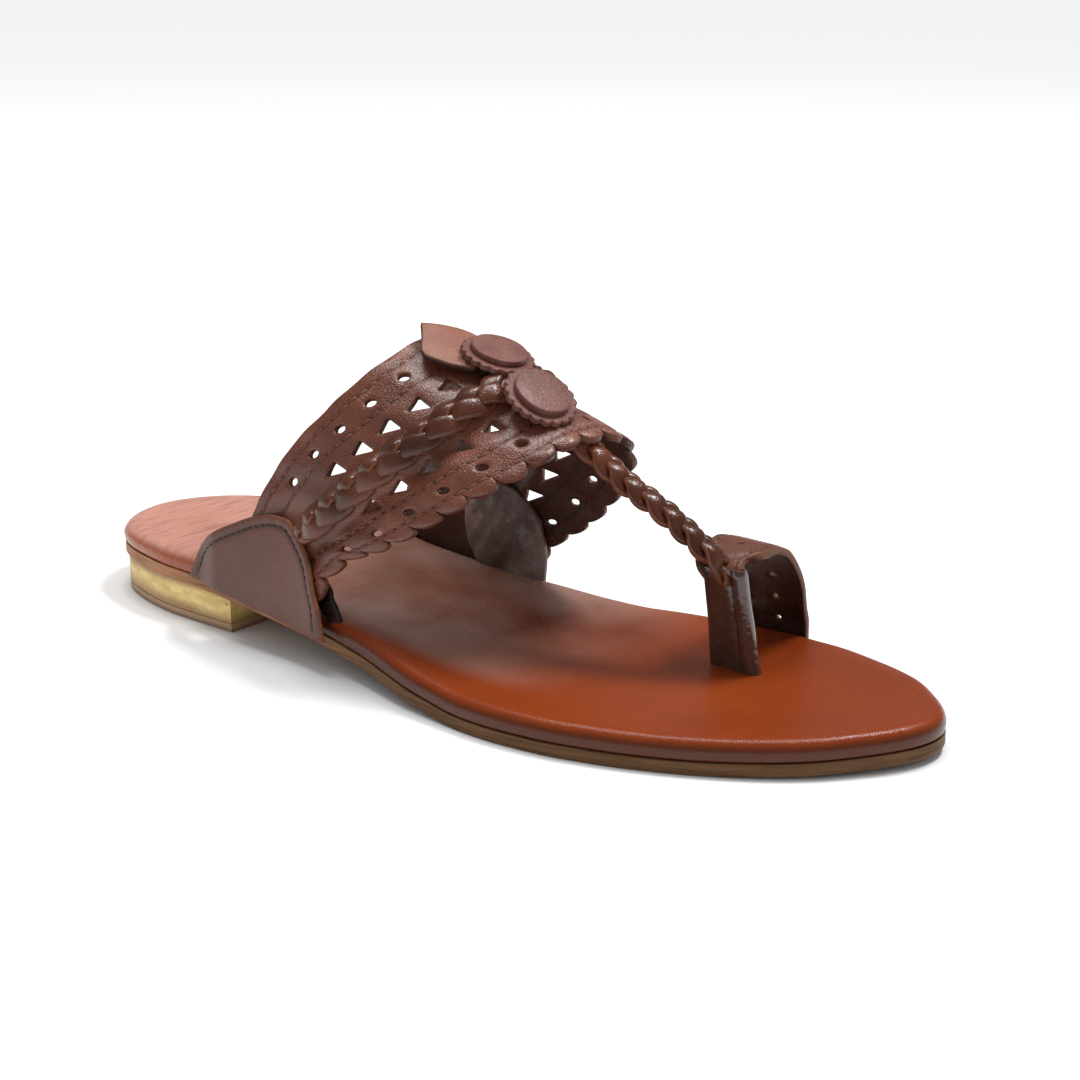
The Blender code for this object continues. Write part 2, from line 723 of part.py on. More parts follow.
def make_sole():
    edge = 0.4 * MM
    top = OUTSOLE_THICK
    slab("outsole", SOLE_LEATHER, [
        (same(edge), underside),
        (same(0), over(underside, edge)),
        (same(0), over(underside, top - edge)),
        (same(edge / 2), over(underside, top)),
    ])
    block_top = over(underside, -GAP)
    slab("heel_block", WOOD, [
        (same(HEEL_SET_IN), same(LIFT_THICK + GAP)),
        (same(HEEL_SET_IN), block_top),
    ], HEEL_LENGTH, 16)
    slab("top_lift", LIFT_RUBBER, [
        (same(HEEL_SET_IN + edge), same(0)),
        (same(HEEL_SET_IN), same(edge)),
        (same(HEEL_SET_IN), same(LIFT_THICK)),
    ], HEEL_LENGTH, 16)


def make_footbed():
    """Padded insole; its edge bulges out over the heel and is rounded above."""
    def heel(x):
        return np.clip(1 - x / HEEL_OVERHANG_RUN, 0, 1) ** 1.5

    def ring(share_in, rise, swell):
        def inset(x):
            wide = FOOTBED_ROUND * (1 + 0.9 * heel(x))
            return wide * share_in - HEEL_OVERHANG * heel(x) * swell
        return inset, lambda x: seat(x) + FOOTBED_THICK * rise

    footbed = slab("footbed", TAN_LEATHER, [
        ring(0.25, 0.0, 0.0),
        ring(0.0, 0.22, 0.7),
        ring(0.0, 0.50, 1.0),
        ring(0.22, 0.76, 1.0),
        ring(0.62, 0.94, 1.0),
        ring(1.25, 1.0, 1.0),
    ])
    bm = bmesh.new()
    bmesh.ops.create_cube(bm, size=1)
    size = (POST_WIDTH + 2 * GAP, POST_THICK + 2 * GAP, 3 * FOOTBED_THICK)
    bmesh.ops.scale(bm, vec=size, verts=bm.verts)
    slot = finish("post_slot_form", bm, TAN_LEATHER)
    slot.location = (POST_PLACE[0] * LENGTH, POST_PLACE[1] * BALL_WIDTH, OUTSOLE_THICK + FOOTBED_THICK)
    combine(footbed, slot, "DIFFERENCE")


def main():
    for old in list(bpy.data.objects):
        bpy.data.objects.remove(old)
    make_sole()
    make_footbed()
    make_upper()
    make_wing("wing_lateral", -1)
    make_wing("wing_medial", 1)
    make_flap()
    on_braid = BAND_THICK + BRAID_HEIGHT + GAP
    make_rosette("rear", REAR_ROSETTE, on_braid, 0)
    drop = DISC_SIZE / 2 * math.sin(math.radians(FRONT_ROSETTE_LEAN))
    make_rosette("front", FRONT_ROSETTE, on_braid + DISC_THICK + GAP - drop, FRONT_ROSETTE_LEAN)
    for made in bpy.data.objects:
        made.location -= CENTRE


main()
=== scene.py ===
# %% [markdown]
# # A right kolhapuri sandal
# This lesson dresses a measured sandal in real-looking leather. The measured model gives the size and
# the place of every piece. The lesson cuts each strap as a flat leather pattern, forms it over the
# same last, sews it, braids it and gives it its finish.
#
# The toe points along +X, the outer side is -Y, the inner side is +Y and the floor is z = 0.

import math

import bpy
import numpy as np
from mathutils import Matrix, Vector
from mathutils.geometry import delaunay_2d_cdt
from mathutils.kdtree import KDTree


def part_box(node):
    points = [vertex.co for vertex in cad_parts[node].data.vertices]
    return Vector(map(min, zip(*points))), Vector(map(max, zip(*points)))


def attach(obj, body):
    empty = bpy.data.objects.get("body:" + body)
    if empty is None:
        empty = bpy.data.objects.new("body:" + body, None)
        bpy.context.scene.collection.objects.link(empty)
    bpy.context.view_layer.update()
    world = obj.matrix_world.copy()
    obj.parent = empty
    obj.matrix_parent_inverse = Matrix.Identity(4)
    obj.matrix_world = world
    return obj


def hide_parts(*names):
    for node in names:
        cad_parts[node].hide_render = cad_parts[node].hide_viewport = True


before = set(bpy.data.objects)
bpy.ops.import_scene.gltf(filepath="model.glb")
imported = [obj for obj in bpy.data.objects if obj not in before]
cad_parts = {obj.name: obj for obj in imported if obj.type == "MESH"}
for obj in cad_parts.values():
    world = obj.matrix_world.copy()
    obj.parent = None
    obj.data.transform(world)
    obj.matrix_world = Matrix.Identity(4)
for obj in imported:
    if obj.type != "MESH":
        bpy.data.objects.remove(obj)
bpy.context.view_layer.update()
print("measured pieces:", ", ".join(sorted(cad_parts)))

# %% [markdown]
# ## The shoe's own sizes
# All sizes are real ones in metres, the same that the measured model was drawn with. The sole's back
# end and its outer side tell where the maker's zero lies, so that nothing has to be fitted by eye.

# %% Sizes of the sole and the last
MM = 0.001
GAP = 0.3 * MM
LENGTH, BALL_WIDTH = 255 * MM, 90 * MM
HEEL_RISE, TOE_SPRING, SPRING_START = 10.8 * MM, 1.7 * MM, 0.80
OUTSOLE_THICK, FOOTBED_THICK, FOOTBED_ROUND = 3.0 * MM, 5.3 * MM, 2.4 * MM
HEEL_OVERHANG, HEEL_OVERHANG_RUN = 0.4 * MM, 45 * MM
HEEL_LENGTH, HEEL_SET_IN, LIFT_THICK = 64 * MM, 0.8 * MM, 2.4 * MM
INSTEP_HEIGHT, VAMP_HEIGHT, INSTEP_AT, VAMP_AT = 81 * MM, 62.5 * MM, 0.4235, 0.6235
LAST_LATERAL, LAST_MEDIAL, LAST_LEAN = 36 * MM, 31 * MM, 3 * MM
NARROW_FROM, NARROW_RUN, ARCH_POWER = 0.412, 0.196, 2.3

OUTLINE = (  # share of the length from the heel, outer and inner half width as shares of the ball width
    (0.00, 0.000, 0.000), (0.02, 0.172, 0.155), (0.05, 0.253, 0.238), (0.10, 0.311, 0.304),
    (0.16, 0.344, 0.338), (0.25, 0.353, 0.338), (0.35, 0.368, 0.308), (0.45, 0.416, 0.312),
    (0.55, 0.486, 0.371), (0.65, 0.518, 0.449), (0.70, 0.508, 0.471), (0.76, 0.470, 0.481),
    (0.82, 0.408, 0.473), (0.88, 0.320, 0.429), (0.93, 0.218, 0.364), (0.97, 0.092, 0.262),
    (1.00, -0.098, 0.098),
)
ARCH = (  # share of the length, then the underside's height as a share of the heel's rise
    (0.00, 0.970), (0.12, 1.000), (0.18, 0.985), (0.25, 0.880), (0.35, 0.650), (0.50, 0.325),
    (0.56, 0.130), (0.62, 0.000), (1.00, 0.000),
)


def column(table, n):
    return [row[n] for row in table]


def smooth(xs, ys, x):
    """A smooth curve through the points that never overshoots them."""
    xs, ys = np.asarray(xs, float), np.asarray(ys, float)
    step = np.diff(xs)
    rise = np.diff(ys) / step
    slope = np.empty_like(ys)
    slope[0], slope[-1] = rise[0], rise[-1]
    for i in range(1, len(xs) - 1):
        before, after = rise[i - 1], rise[i]
        slope[i] = 0
        if before * after > 0:
            weight = (2 * step[i] + step[i - 1]) / before + (step[i] + 2 * step[i - 1]) / after
            slope[i] = 3 * (step[i - 1] + step[i]) / weight
    k = np.clip(np.searchsorted(xs, x, side="right") - 1, 0, len(xs) - 2)
    t = (x - xs[k]) / step[k]
    start = (1 + 2 * t) * (1 - t) ** 2 * ys[k] + t * (1 - t) ** 2 * step[k] * slope[k]
    end = t * t * (3 - 2 * t) * ys[k + 1] + t * t * (t - 1) * step[k] * slope[k + 1]
    return start + end


def ease(x, start, end):
    """0 before start, 1 after end, and a soft step between."""
    t = np.clip((x - start) / (end - start), 0, 1)
    return t * t * (3 - 2 * t)


def bump_at(x, middle, reach):
    """A soft ridge of height 1 at the middle."""
    return np.exp(-((x - middle) / reach) ** 2)


def circle(count):
    """Even angles around a circle."""
    return 2 * math.pi * np.arange(count) / count


def squarish(wave, power):
    """A sine or cosine that, with a power below 1, stays longer near its ends."""
    return np.sign(wave) * np.abs(wave) ** power


def unit(rows):
    """Each row as a direction of length 1."""
    return rows / np.linalg.norm(rows, axis=1)[:, None]


def square_to(rows, ahead):
    """The part of each row that is square to the direction beside it."""
    return rows - ahead * (rows * ahead).sum(axis=1)[:, None]


def run_along(points):
    """Distance of each point from the first one, along the line of points."""
    return np.concatenate(([0], np.cumsum(np.linalg.norm(np.diff(points, axis=0), axis=1))))


def rows_at(wanted, run, rows):
    """Rows at the wanted distances, between the ones given at the distances run."""
    return np.stack([np.interp(wanted, run, values) for values in rows.T], axis=1)


def half_width(x, side):
    """Half width of the sole at x: side -1 is the outer one, +1 the inner one."""
    turn = np.arccos(1 - 2 * np.clip(x / LENGTH, 0, 1))
    turns = np.arccos(1 - 2 * np.array(column(OUTLINE, 0)))
    return BALL_WIDTH * smooth(turns, column(OUTLINE, 1 if side < 0 else 2), turn)


def underside(x):
    share = np.clip(x / LENGTH, 0, 1)
    spring = np.clip((share - SPRING_START) / (1 - SPRING_START), 0, 1) ** 2
    return HEEL_RISE * smooth(column(ARCH, 0), column(ARCH, 1), share) + TOE_SPRING * spring


def seat(x):
    """Height of the seam between outsole and footbed."""
    return underside(x) + OUTSOLE_THICK + GAP


sole_low, sole_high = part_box("outsole")
WIDEST = half_width(np.linspace(0.5, 0.8, 61) * LENGTH, -1).max()
CENTRE = np.array((-sole_low[0], -sole_low[1] - WIDEST, 0.0))
print("sole", round(LENGTH / MM), "mm long; its heel is", round(CENTRE[0] / MM, 2), "mm behind the middle")

# %% [markdown]
# ## The last
# A maker pulls the straps over a wooden foot, the last. Here the last is a formula: a place on it is
# its distance from the heel, its turn around the instep from the outer base (-1) over the top (0) to
# the inner base (+1), and its height off the last. A pattern drawn in these two numbers can be cut
# flat and is then laid on the last, as leather is.


# %% Places on the last
def last_frame(x, turn):
    share = x / LENGTH
    base = seat(x)
    drop = (VAMP_HEIGHT - INSTEP_HEIGHT) / (VAMP_AT - INSTEP_AT)
    rise = INSTEP_HEIGHT + drop * (share - INSTEP_AT) - base
    toward = np.clip((share - NARROW_FROM) / NARROW_RUN, 0, 1)
    held = np.minimum(x, NARROW_FROM * LENGTH)
    lateral = (half_width(held, -1) + GAP) * (1 - toward) + LAST_LATERAL * toward
    medial = (half_width(held, 1) + GAP) * (1 - toward) + LAST_MEDIAL * toward
    angle = turn * math.pi / 2
    s, c = np.sin(angle), np.cos(angle)
    reach = (np.abs(s) ** ARCH_POWER + np.abs(c) ** ARCH_POWER) ** (-1 / ARCH_POWER)
    width = np.where(turn < 0, lateral, medial)
    up = c * reach
    return np.array([x + 0 * turn, width * s * reach + LAST_LEAN * up, base + rise * up])


def last_normal(x, turn):
    """Point on the last and its outward normal."""
    x, turn = np.asarray(x, float), np.asarray(turn, float)
    dx, dt = 0.5 * MM, 0.004
    here = last_frame(x, turn)
    along = last_frame(x + dx, turn) - last_frame(x - dx, turn)
    around = last_frame(x, turn + dt) - last_frame(x, turn - dt)
    normal = np.cross(around.T, along.T).T
    normal = normal / np.linalg.norm(normal, axis=0)
    return here, np.where(normal[2] * here[2] + normal[1] * here[1] < 0, -normal, normal)


def on_last(x, turn, off=0.0):
    """Point at x and turn, lifted off the last along its outward normal."""
    here, normal = last_normal(x, turn)
    return here + normal * off


BAND_EDGES = (  # turn around the last, then the band's rear and front edge as shares of the length
    (-1.00, 0.259, 0.400), (-0.90, 0.279, 0.408), (-0.86, 0.288, 0.418), (-0.80, 0.302, 0.443),
    (-0.75, 0.313, 0.478), (-0.63, 0.344, 0.533), (-0.50, 0.381, 0.577), (-0.34, 0.411, 0.612),
    (-0.18, 0.425, 0.627), (0.00, 0.427, 0.632), (0.18, 0.418, 0.634), (0.34, 0.395, 0.629),
    (0.50, 0.367, 0.615), (0.63, 0.341, 0.587), (0.75, 0.312, 0.551), (0.86, 0.288, 0.503),
    (1.00, 0.259, 0.462),
)


def band_edges(turn):
    turns = column(BAND_EDGES, 0)
    return [LENGTH * smooth(turns, column(BAND_EDGES, n), turn) for n in (1, 2)]


def band_normal(turn, across):
    """Point under the band and its normal: across runs from the rear edge (0) to the front edge (1)."""
    rear, front = band_edges(turn)
    return last_normal(rear + (front - rear) * across, turn)


def band_place(turn, across, off=0.0):
    """Point of the instep band, lifted off the last."""
    here, normal = band_normal(turn, across)
    return here + normal * off


RUN_TURNS, RUN_ROWS = np.linspace(-1, 1, 401), np.linspace(0, 1, 21)
RUN_TABLE = []
for row in RUN_ROWS:
    distance = run_along(band_place(RUN_TURNS, np.full_like(RUN_TURNS, row)).T)
    RUN_TABLE.append(distance - np.interp(0, RUN_TURNS, distance))
RUN_TABLE = np.array(RUN_TABLE)
BAND_WIDTHS = np.linalg.norm(band_place(RUN_TURNS, np.ones_like(RUN_TURNS))
                             - band_place(RUN_TURNS, np.zeros_like(RUN_TURNS)), axis=0)


def runs_at(across):
    """Distances from the band's middle to every turn of RUN_TURNS, on one line across."""
    place = np.clip(across, 0, 1) * (len(RUN_ROWS) - 1)
    low = int(min(place, len(RUN_ROWS) - 2))
    return RUN_TABLE[low] * (1 - place + low) + RUN_TABLE[low + 1] * (place - low)


def turn_at(across, run):
    """Turn of the place that lies run metres along the band from its middle."""
    return np.interp(run, runs_at(across), RUN_TURNS)


def run_of(turn, across):
    """Distance along the band from its middle, for many places at once."""
    place = np.clip(across, 0, 1) * (len(RUN_ROWS) - 1)
    low = np.minimum(place.astype(int), len(RUN_ROWS) - 2)
    column_at = (np.clip(turn, -1, 1) + 1) / 2 * (len(RUN_TURNS) - 1)
    left = np.minimum(column_at.astype(int), len(RUN_TURNS) - 2)
    up, over = place - low, column_at - left
    near = RUN_TABLE[low, left] * (1 - over) + RUN_TABLE[low, left + 1] * over
    far = RUN_TABLE[low + 1, left] * (1 - over) + RUN_TABLE[low + 1, left + 1] * over
    return near * (1 - up) + far * up


def band_width(turn):
    return np.interp(turn, RUN_TURNS, BAND_WIDTHS)


print("band", round((RUN_TABLE[10, -1] - RUN_TABLE[10, 0]) / MM), "mm around and",
      round(band_width(0.0) / MM), "mm wide on top")

# %% [markdown]
# ## Small effects that many finishes share
# Leather is alive because its colour clouds, its grain breaks the gloss and its cut edges show the
# raw fibre. Each effect is one node group with named sockets, built once and used by every finish
# with its own values.


# %% Node helpers
def add(tree, kind, links=None, **settings):
    """Add a node: links fill its sockets with values or other nodes' outputs, settings set its options."""
    node = tree.nodes.new(kind)
    for name, value in settings.items():
        setattr(node, name, value)
    for name, value in (links or {}).items():
        socket = node.inputs[name]
        if isinstance(value, bpy.types.NodeSocket):
            tree.links.new(value, socket)
        else:
            socket.default_value = value
    return node


def new_group(name, inputs, outputs):
    """A shader group whose inputs give (name, kind, value) and whose outputs give (name, kind)."""
    tree = bpy.data.node_groups.new(name, "ShaderNodeTree")
    for title, kind, value in inputs:
        socket = tree.interface.new_socket(title, in_out="INPUT", socket_type="NodeSocket" + kind)
        if value is not None:
            socket.default_value = value
    for title, kind in outputs:
        tree.interface.new_socket(title, in_out="OUTPUT", socket_type="NodeSocket" + kind)
    return tree, tree.nodes.new("NodeGroupInput").outputs, tree.nodes.new("NodeGroupOutput").inputs


def maths(tree, operation, a, b=0.0, c=0.0, clamp=False):
    node = add(tree, "ShaderNodeMath", {0: a, 1: b, 2: c}, operation=operation, use_clamp=clamp)
    return node.outputs[0]


def blend(tree, share, a, b, how="MIX"):
    node = add(tree, "ShaderNodeMix", data_type="RGBA", blend_type=how)
    for index, value in ((0, share), (6, a), (7, b)):
        if isinstance(value, bpy.types.NodeSocket):
            tree.links.new(value, node.inputs[index])
        else:
            node.inputs[index].default_value = value
    return node.outputs[2]


def soft_step(tree, value, start, end):
    node = add(tree, "ShaderNodeMapRange", {0: value, 1: start, 2: end}, interpolation_type="SMOOTHSTEP")
    return node.outputs[0]


def times(tree, a, b):
    return maths(tree, "MULTIPLY", a, b)


def scaled(tree, value, by, plus, clamp=False):
    return maths(tree, "MULTIPLY_ADD", value, by, plus, clamp)


def inverse(tree, value):
    return maths(tree, "SUBTRACT", 1.0, value)


def noise(tree, place, scale, detail=2.0, roughness=0.5, distortion=0.0):
    node = add(tree, "ShaderNodeTexNoise", {"Vector": place, "Scale": scale, "Detail": detail,
                                            "Roughness": roughness, "Distortion": distortion})
    return node.outputs["Fac"]


def stretch(tree, place, scale, turn=0.0):
    node = add(tree, "ShaderNodeMapping", {"Vector": place, "Scale": scale, "Rotation": (0, 0, turn)})
    return node.outputs[0]


def tag(tree, name):
    """A value kept on the mesh: how raw a cut is (on the footbed, how much painted shade and gloss its side
    gets), or where a seam runs.
    """
    return add(tree, "ShaderNodeAttribute", attribute_name=name).outputs["Fac"]


# %% Leather grain
grain, inside, out = new_group(
    "leather grain",
    [("Vector", "Vector", None), ("Pebbles per metre", "Float", 900.0), ("Pores", "Float", 0.4)],
    [("Height", "Float"), ("Clouds", "Float"), ("Sheen breaks", "Float")])
pebbles = add(grain, "ShaderNodeTexVoronoi", {"Vector": inside[0], "Scale": inside[1], "Randomness": 0.9},
              feature="DISTANCE_TO_EDGE")
pebble = soft_step(grain, pebbles.outputs["Distance"], 0.0, 0.35)
pores = noise(grain, inside[0], times(grain, inside[1], 2.3), 3.0, 0.6)
wrinkles = noise(grain, inside[0], 160.0, 5.0, 0.62, distortion=0.8)
fine = scaled(grain, pores, inside[2], pebble)
grain.links.new(scaled(grain, wrinkles, 0.9, fine), out["Height"])
clouds = noise(grain, inside[0], 42.0, 4.0, 0.55)
grain.links.new(soft_step(grain, clouds, 0.35, 0.68), out["Clouds"])
grain.links.new(times(grain, pores, wrinkles), out["Sheen breaks"])

# %% Sewn line
sewn, inside, out = new_group(
    "sewn line",
    [("Distance", "Float", 1.0), ("Run", "Float", 0.0), ("Pitch", "Float", 0.003)],
    [("Groove", "Float"), ("Needle holes", "Float")])
groove = inverse(sewn, soft_step(sewn, inside[0], 0.0001, 0.0011))
sewn.links.new(groove, out["Groove"])
phase = maths(sewn, "FRACT", maths(sewn, "DIVIDE", inside[1], inside[2]))
from_hole = times(sewn, maths(sewn, "ABSOLUTE", maths(sewn, "SUBTRACT", phase, 0.5)), inside[2])
spot = maths(sewn, "SQRT", maths(sewn, "ADD", times(sewn, inside[0], inside[0]),
                                  times(sewn, from_hole, from_hole)))
sewn.links.new(inverse(sewn, soft_step(sewn, spot, 0.00022, 0.0005)), out["Needle holes"])

# %% Cut edge
rawcut, inside, out = new_group(
    "cut edge",
    [("Vector", "Vector", None), ("Cut", "Float", 0.0), ("Dye left", "Float", 0.4)],
    [("Mask", "Float"), ("Fibre", "Float")])
fibre = noise(rawcut, inside[0], 700.0, 4.0, 0.7)
patches = noise(rawcut, inside[0], 190.0, 3.0)
bare = soft_step(rawcut, patches, maths(rawcut, "SUBTRACT", inside[2], 0.12),
                 maths(rawcut, "ADD", inside[2], 0.12))
rawcut.links.new(times(rawcut, inside[1], bare), out["Mask"])
rawcut.links.new(fibre, out["Fibre"])
print("effects:", ", ".join(group.name for group in (grain, sewn, rawcut)))


# %% [markdown]
# ## Leather finishes
# All straps are one dark hide, but each piece was dyed and burnished by hand, so each finish has its
# own two tones, gloss and grain. A single recipe makes them: clouds blend the two tones, stitch lines
# darken, needle holes sink and are painted near black as shade, the side toward the foot gets painted
# shade, and cut edges show the orange-brown fibre.


# %% The recipe for a leather
def use(tree, group, **links):
    node = tree.nodes.new("ShaderNodeGroup")
    node.node_tree = group
    for name, value in links.items():
        socket = node.inputs[name.replace("_", " ")]
        if isinstance(value, bpy.types.NodeSocket):
            tree.links.new(value, socket)
        else:
            socket.default_value = value
    return node.outputs


def rgb(r, g, b):
    return (r, g, b, 1.0)


def start_finish(name):
    made = bpy.data.materials.new(name)
    made.use_nodes = True
    tree = made.node_tree
    shader = tree.nodes["Principled BSDF"]
    place = add(tree, "ShaderNodeTexCoord").outputs["Object"]
    return made, tree, shader, place


def dress(tree, shader, colour, height, depth, roughness, specular=0.5):
    """Give the shader its colour, its relief (depth is the relief's real height) and its roughness."""
    bump = add(tree, "ShaderNodeBump", {"Height": height, "Distance": depth})
    tree.links.new(colour, shader.inputs["Base Color"])
    tree.links.new(bump.outputs[0], shader.inputs["Normal"])
    if isinstance(roughness, float):
        shader.inputs["Roughness"].default_value = roughness
    else:
        tree.links.new(roughness, shader.inputs["Roughness"])
    shader.inputs["Specular IOR Level"].default_value = specular


def shade(colour, share):
    """The colour times the share, which makes it lighter above 1."""
    return rgb(*[part * share for part in colour])


def hidden_side(tree, middle_y):
    """1 on faces that look toward the foot, which lies along the line y = middle_y."""
    spot = add(tree, "ShaderNodeNewGeometry").outputs
    from_middle = add(tree, "ShaderNodeVectorMath", {0: spot["Position"], 1: (0.0, middle_y, 0.0)},
                      operation="SUBTRACT").outputs[0]
    outward = add(tree, "ShaderNodeVectorMath", {0: from_middle, 1: (0.0, 1.0, 1.0)}, operation="MULTIPLY")
    facing = add(tree, "ShaderNodeVectorMath", {0: spot["True Normal"], 1: outward.outputs[0]},
                 operation="DOT_PRODUCT")
    return maths(tree, "LESS_THAN", facing.outputs["Value"], 0.0)


def dye_leather(name, tone, deep, roughness, gloss, pebbles, depth, raw, dye_left=0.45, sewn_pitch=None,
                specular=0.5, coat_rough=0.22, inner_shade=1.0, middle_y=0.0):
    """tone and deep are the two dyes, raw the cut edge's colour, depth the grain's height in metres."""
    made, tree, shader, place = start_finish(name)
    surface = use(tree, grain, Vector=place, Pebbles_per_metre=pebbles)
    colour = blend(tree, surface["Clouds"], rgb(*deep), rgb(*tone))
    speckle = soft_step(tree, surface["Sheen breaks"], 0.16, 0.40)
    colour = blend(tree, scaled(tree, speckle, -0.30, 0.30), colour, shade(deep, 0.45))
    height = surface["Height"]
    if sewn_pitch:
        line = use(tree, sewn, Distance=tag(tree, "seam"), Run=tag(tree, "run"), Pitch=sewn_pitch)
        colour = blend(tree, times(tree, line["Groove"], 0.55), colour, shade(deep, 0.35))
        # Painted shade: the needle holes are darkened to near black.
        colour = blend(tree, times(tree, line["Needle holes"], 0.6), colour, rgb(0.020, 0.007, 0.004))
        height = maths(tree, "SUBTRACT", height, times(tree, line["Needle holes"], 2.5))
    # Painted shade: faces that look toward the foot are darkened by inner_shade, as the strap's inside lies
    # in shade.
    if inner_shade < 1.0:
        shaded = blend(tree, 1.0, colour, rgb(inner_shade, inner_shade * 0.94, inner_shade), "MULTIPLY")
        colour = blend(tree, hidden_side(tree, middle_y), colour, shaded)
    edge = use(tree, rawcut, Vector=place, Cut=tag(tree, "raw"), Dye_left=dye_left)
    colour = blend(tree, edge["Mask"], colour, blend(tree, edge["Fibre"], shade(raw, 0.45), rgb(*raw)))
    rough = scaled(tree, surface["Sheen breaks"], 0.5, roughness - 0.12)
    rough = scaled(tree, edge["Mask"], 0.3, rough, clamp=True)
    dress(tree, shader, colour, height, depth, rough, specular)
    shader.inputs["Coat Roughness"].default_value = coat_rough
    tree.links.new(times(tree, inverse(tree, edge["Mask"]), gloss), shader.inputs["Coat Weight"])
    made.diffuse_color = rgb(*tone)
    return made


BAND_LEATHER = dye_leather("band leather", (0.200, 0.060, 0.032), (0.112, 0.033, 0.017), 0.34, 0.18,
                           pebbles=1500.0, depth=0.07 * MM, raw=(0.20, 0.065, 0.030), dye_left=0.5,
                           sewn_pitch=3.0 * MM, specular=0.45, inner_shade=0.42)
WING_LEATHER = dye_leather("wing leather", (0.165, 0.064, 0.044), (0.125, 0.047, 0.032), 0.38, 0.08,
                           pebbles=1700.0, depth=0.04 * MM, raw=(0.36, 0.145, 0.06), dye_left=0.35,
                           sewn_pitch=2.4 * MM, specular=0.28)
BRAID_LEATHER = dye_leather("braid leather", (0.160, 0.047, 0.022), (0.055, 0.015, 0.007), 0.24, 0.24,
                            pebbles=1600.0, depth=0.035 * MM, raw=(0.24, 0.075, 0.030), dye_left=0.4,
                            specular=0.35)
ROSETTE_LEATHER = dye_leather("rosette leather", (0.205, 0.081, 0.063), (0.140, 0.052, 0.040), 0.38, 0.08,
                              pebbles=1900.0, depth=0.06 * MM, raw=(0.16, 0.055, 0.035), dye_left=0.5,
                              specular=0.25)
FLAP_LEATHER = dye_leather("flap leather", (0.295, 0.120, 0.079), (0.215, 0.082, 0.052), 0.38, 0.08,
                           pebbles=1700.0, depth=0.04 * MM, raw=(0.06, 0.022, 0.014), dye_left=0.2,
                           specular=0.22)
LOOP_LEATHER = dye_leather("toe loop leather", (0.210, 0.066, 0.032), (0.115, 0.040, 0.025), 0.36, 0.08,
                           pebbles=1500.0, depth=0.06 * MM, raw=(0.24, 0.095, 0.045), dye_left=0.45,
                           sewn_pitch=2.6 * MM, specular=0.22, inner_shade=0.40, middle_y=22 * MM)
POST_LEATHER = dye_leather("post leather", (0.078, 0.040, 0.031), (0.042, 0.021, 0.016), 0.20, 0.60,
                           pebbles=420.0, depth=0.05 * MM, raw=(0.10, 0.04, 0.02), coat_rough=0.12)
# The inner lining's light grey tone is partly painted sheen; the outer lining is the same leather darkened to
# near black as painted shade.
LINING_LEATHER = dye_leather("lining leather", (0.270, 0.190, 0.172), (0.085, 0.050, 0.043), 0.30, 0.40,
                             pebbles=1500.0, depth=0.08 * MM, raw=(0.12, 0.05, 0.03), coat_rough=0.2,
                             specular=0.45)
SHADED_LINING = dye_leather("outer lining leather in painted shade", (0.030, 0.017, 0.014), (0.018, 0.010, 0.008), 0.38, 0.10,
                            pebbles=1500.0, depth=0.08 * MM, raw=(0.03, 0.015, 0.01), specular=0.2)
print("leather finishes:", sum(1 for made in bpy.data.materials if "leather" in made.name))


# %% [markdown]
# ## Thread
# The band and the toe loop are sewn with rust-brown thread and the wings with nearly black thread. The
# twist shows as a fine slanting bump.


# %% Thread finishes
def spin_thread(name, tone):
    made, tree, shader, place = start_finish(name)
    twist = add(tree, "ShaderNodeTexWave", {"Vector": place, "Scale": 900.0, "Distortion": 1.0},
                bands_direction="DIAGONAL")
    fuzz = noise(tree, place, 260.0, 2.0)
    colour = blend(tree, fuzz, shade(tone, 0.55), shade(tone, 1.3))
    dress(tree, shader, colour, twist.outputs["Fac"], 0.05 * MM, scaled(tree, fuzz, 0.2, 0.45))
    return made


RUST_THREAD = spin_thread("rust thread", (0.170, 0.036, 0.016))
DARK_THREAD = spin_thread("dark thread", (0.030, 0.014, 0.011))


# %% [markdown]
# ## Cutting and forming leather
# A strap starts as a flat pattern: an outline, the punched holes, and points between them. A
# triangulation joins these into a sheet. Blender's knife and lattice could do this by hand, but a
# hundred holes on a double curve would drift, so the pattern is cut in the plane, where every hole
# stays round, and then laid on the last. A second ring just inside each cut lets the edge round
# over, as real leather does when it is punched.


# %% Cutting tools
def within(loops, points):
    """Which points lie inside the outline and outside every hole."""
    odd = np.zeros(len(points), bool)
    for loop in loops:
        ahead = np.roll(loop, -1, axis=0)
        for (x1, y1), (x2, y2) in zip(loop, ahead):
            spans = (y1 > points[:, 1]) != (y2 > points[:, 1])
            if y1 != y2:
                odd ^= spans & (points[:, 0] < (x2 - x1) * (points[:, 1] - y1) / (y2 - y1) + x1)
    return odd


def local_scale(form, places, step=0.002):
    """Real length of one unit of each pattern coordinate at these places."""
    a, b = places.T
    along = np.linalg.norm(form(a + step, b, 0 * a) - form(a - step, b, 0 * a), axis=0) / (2 * step)
    over = np.linalg.norm(form(a, b + step, 0 * a) - form(a, b - step, 0 * a), axis=0) / (2 * step)
    return np.stack((along, over), axis=1)


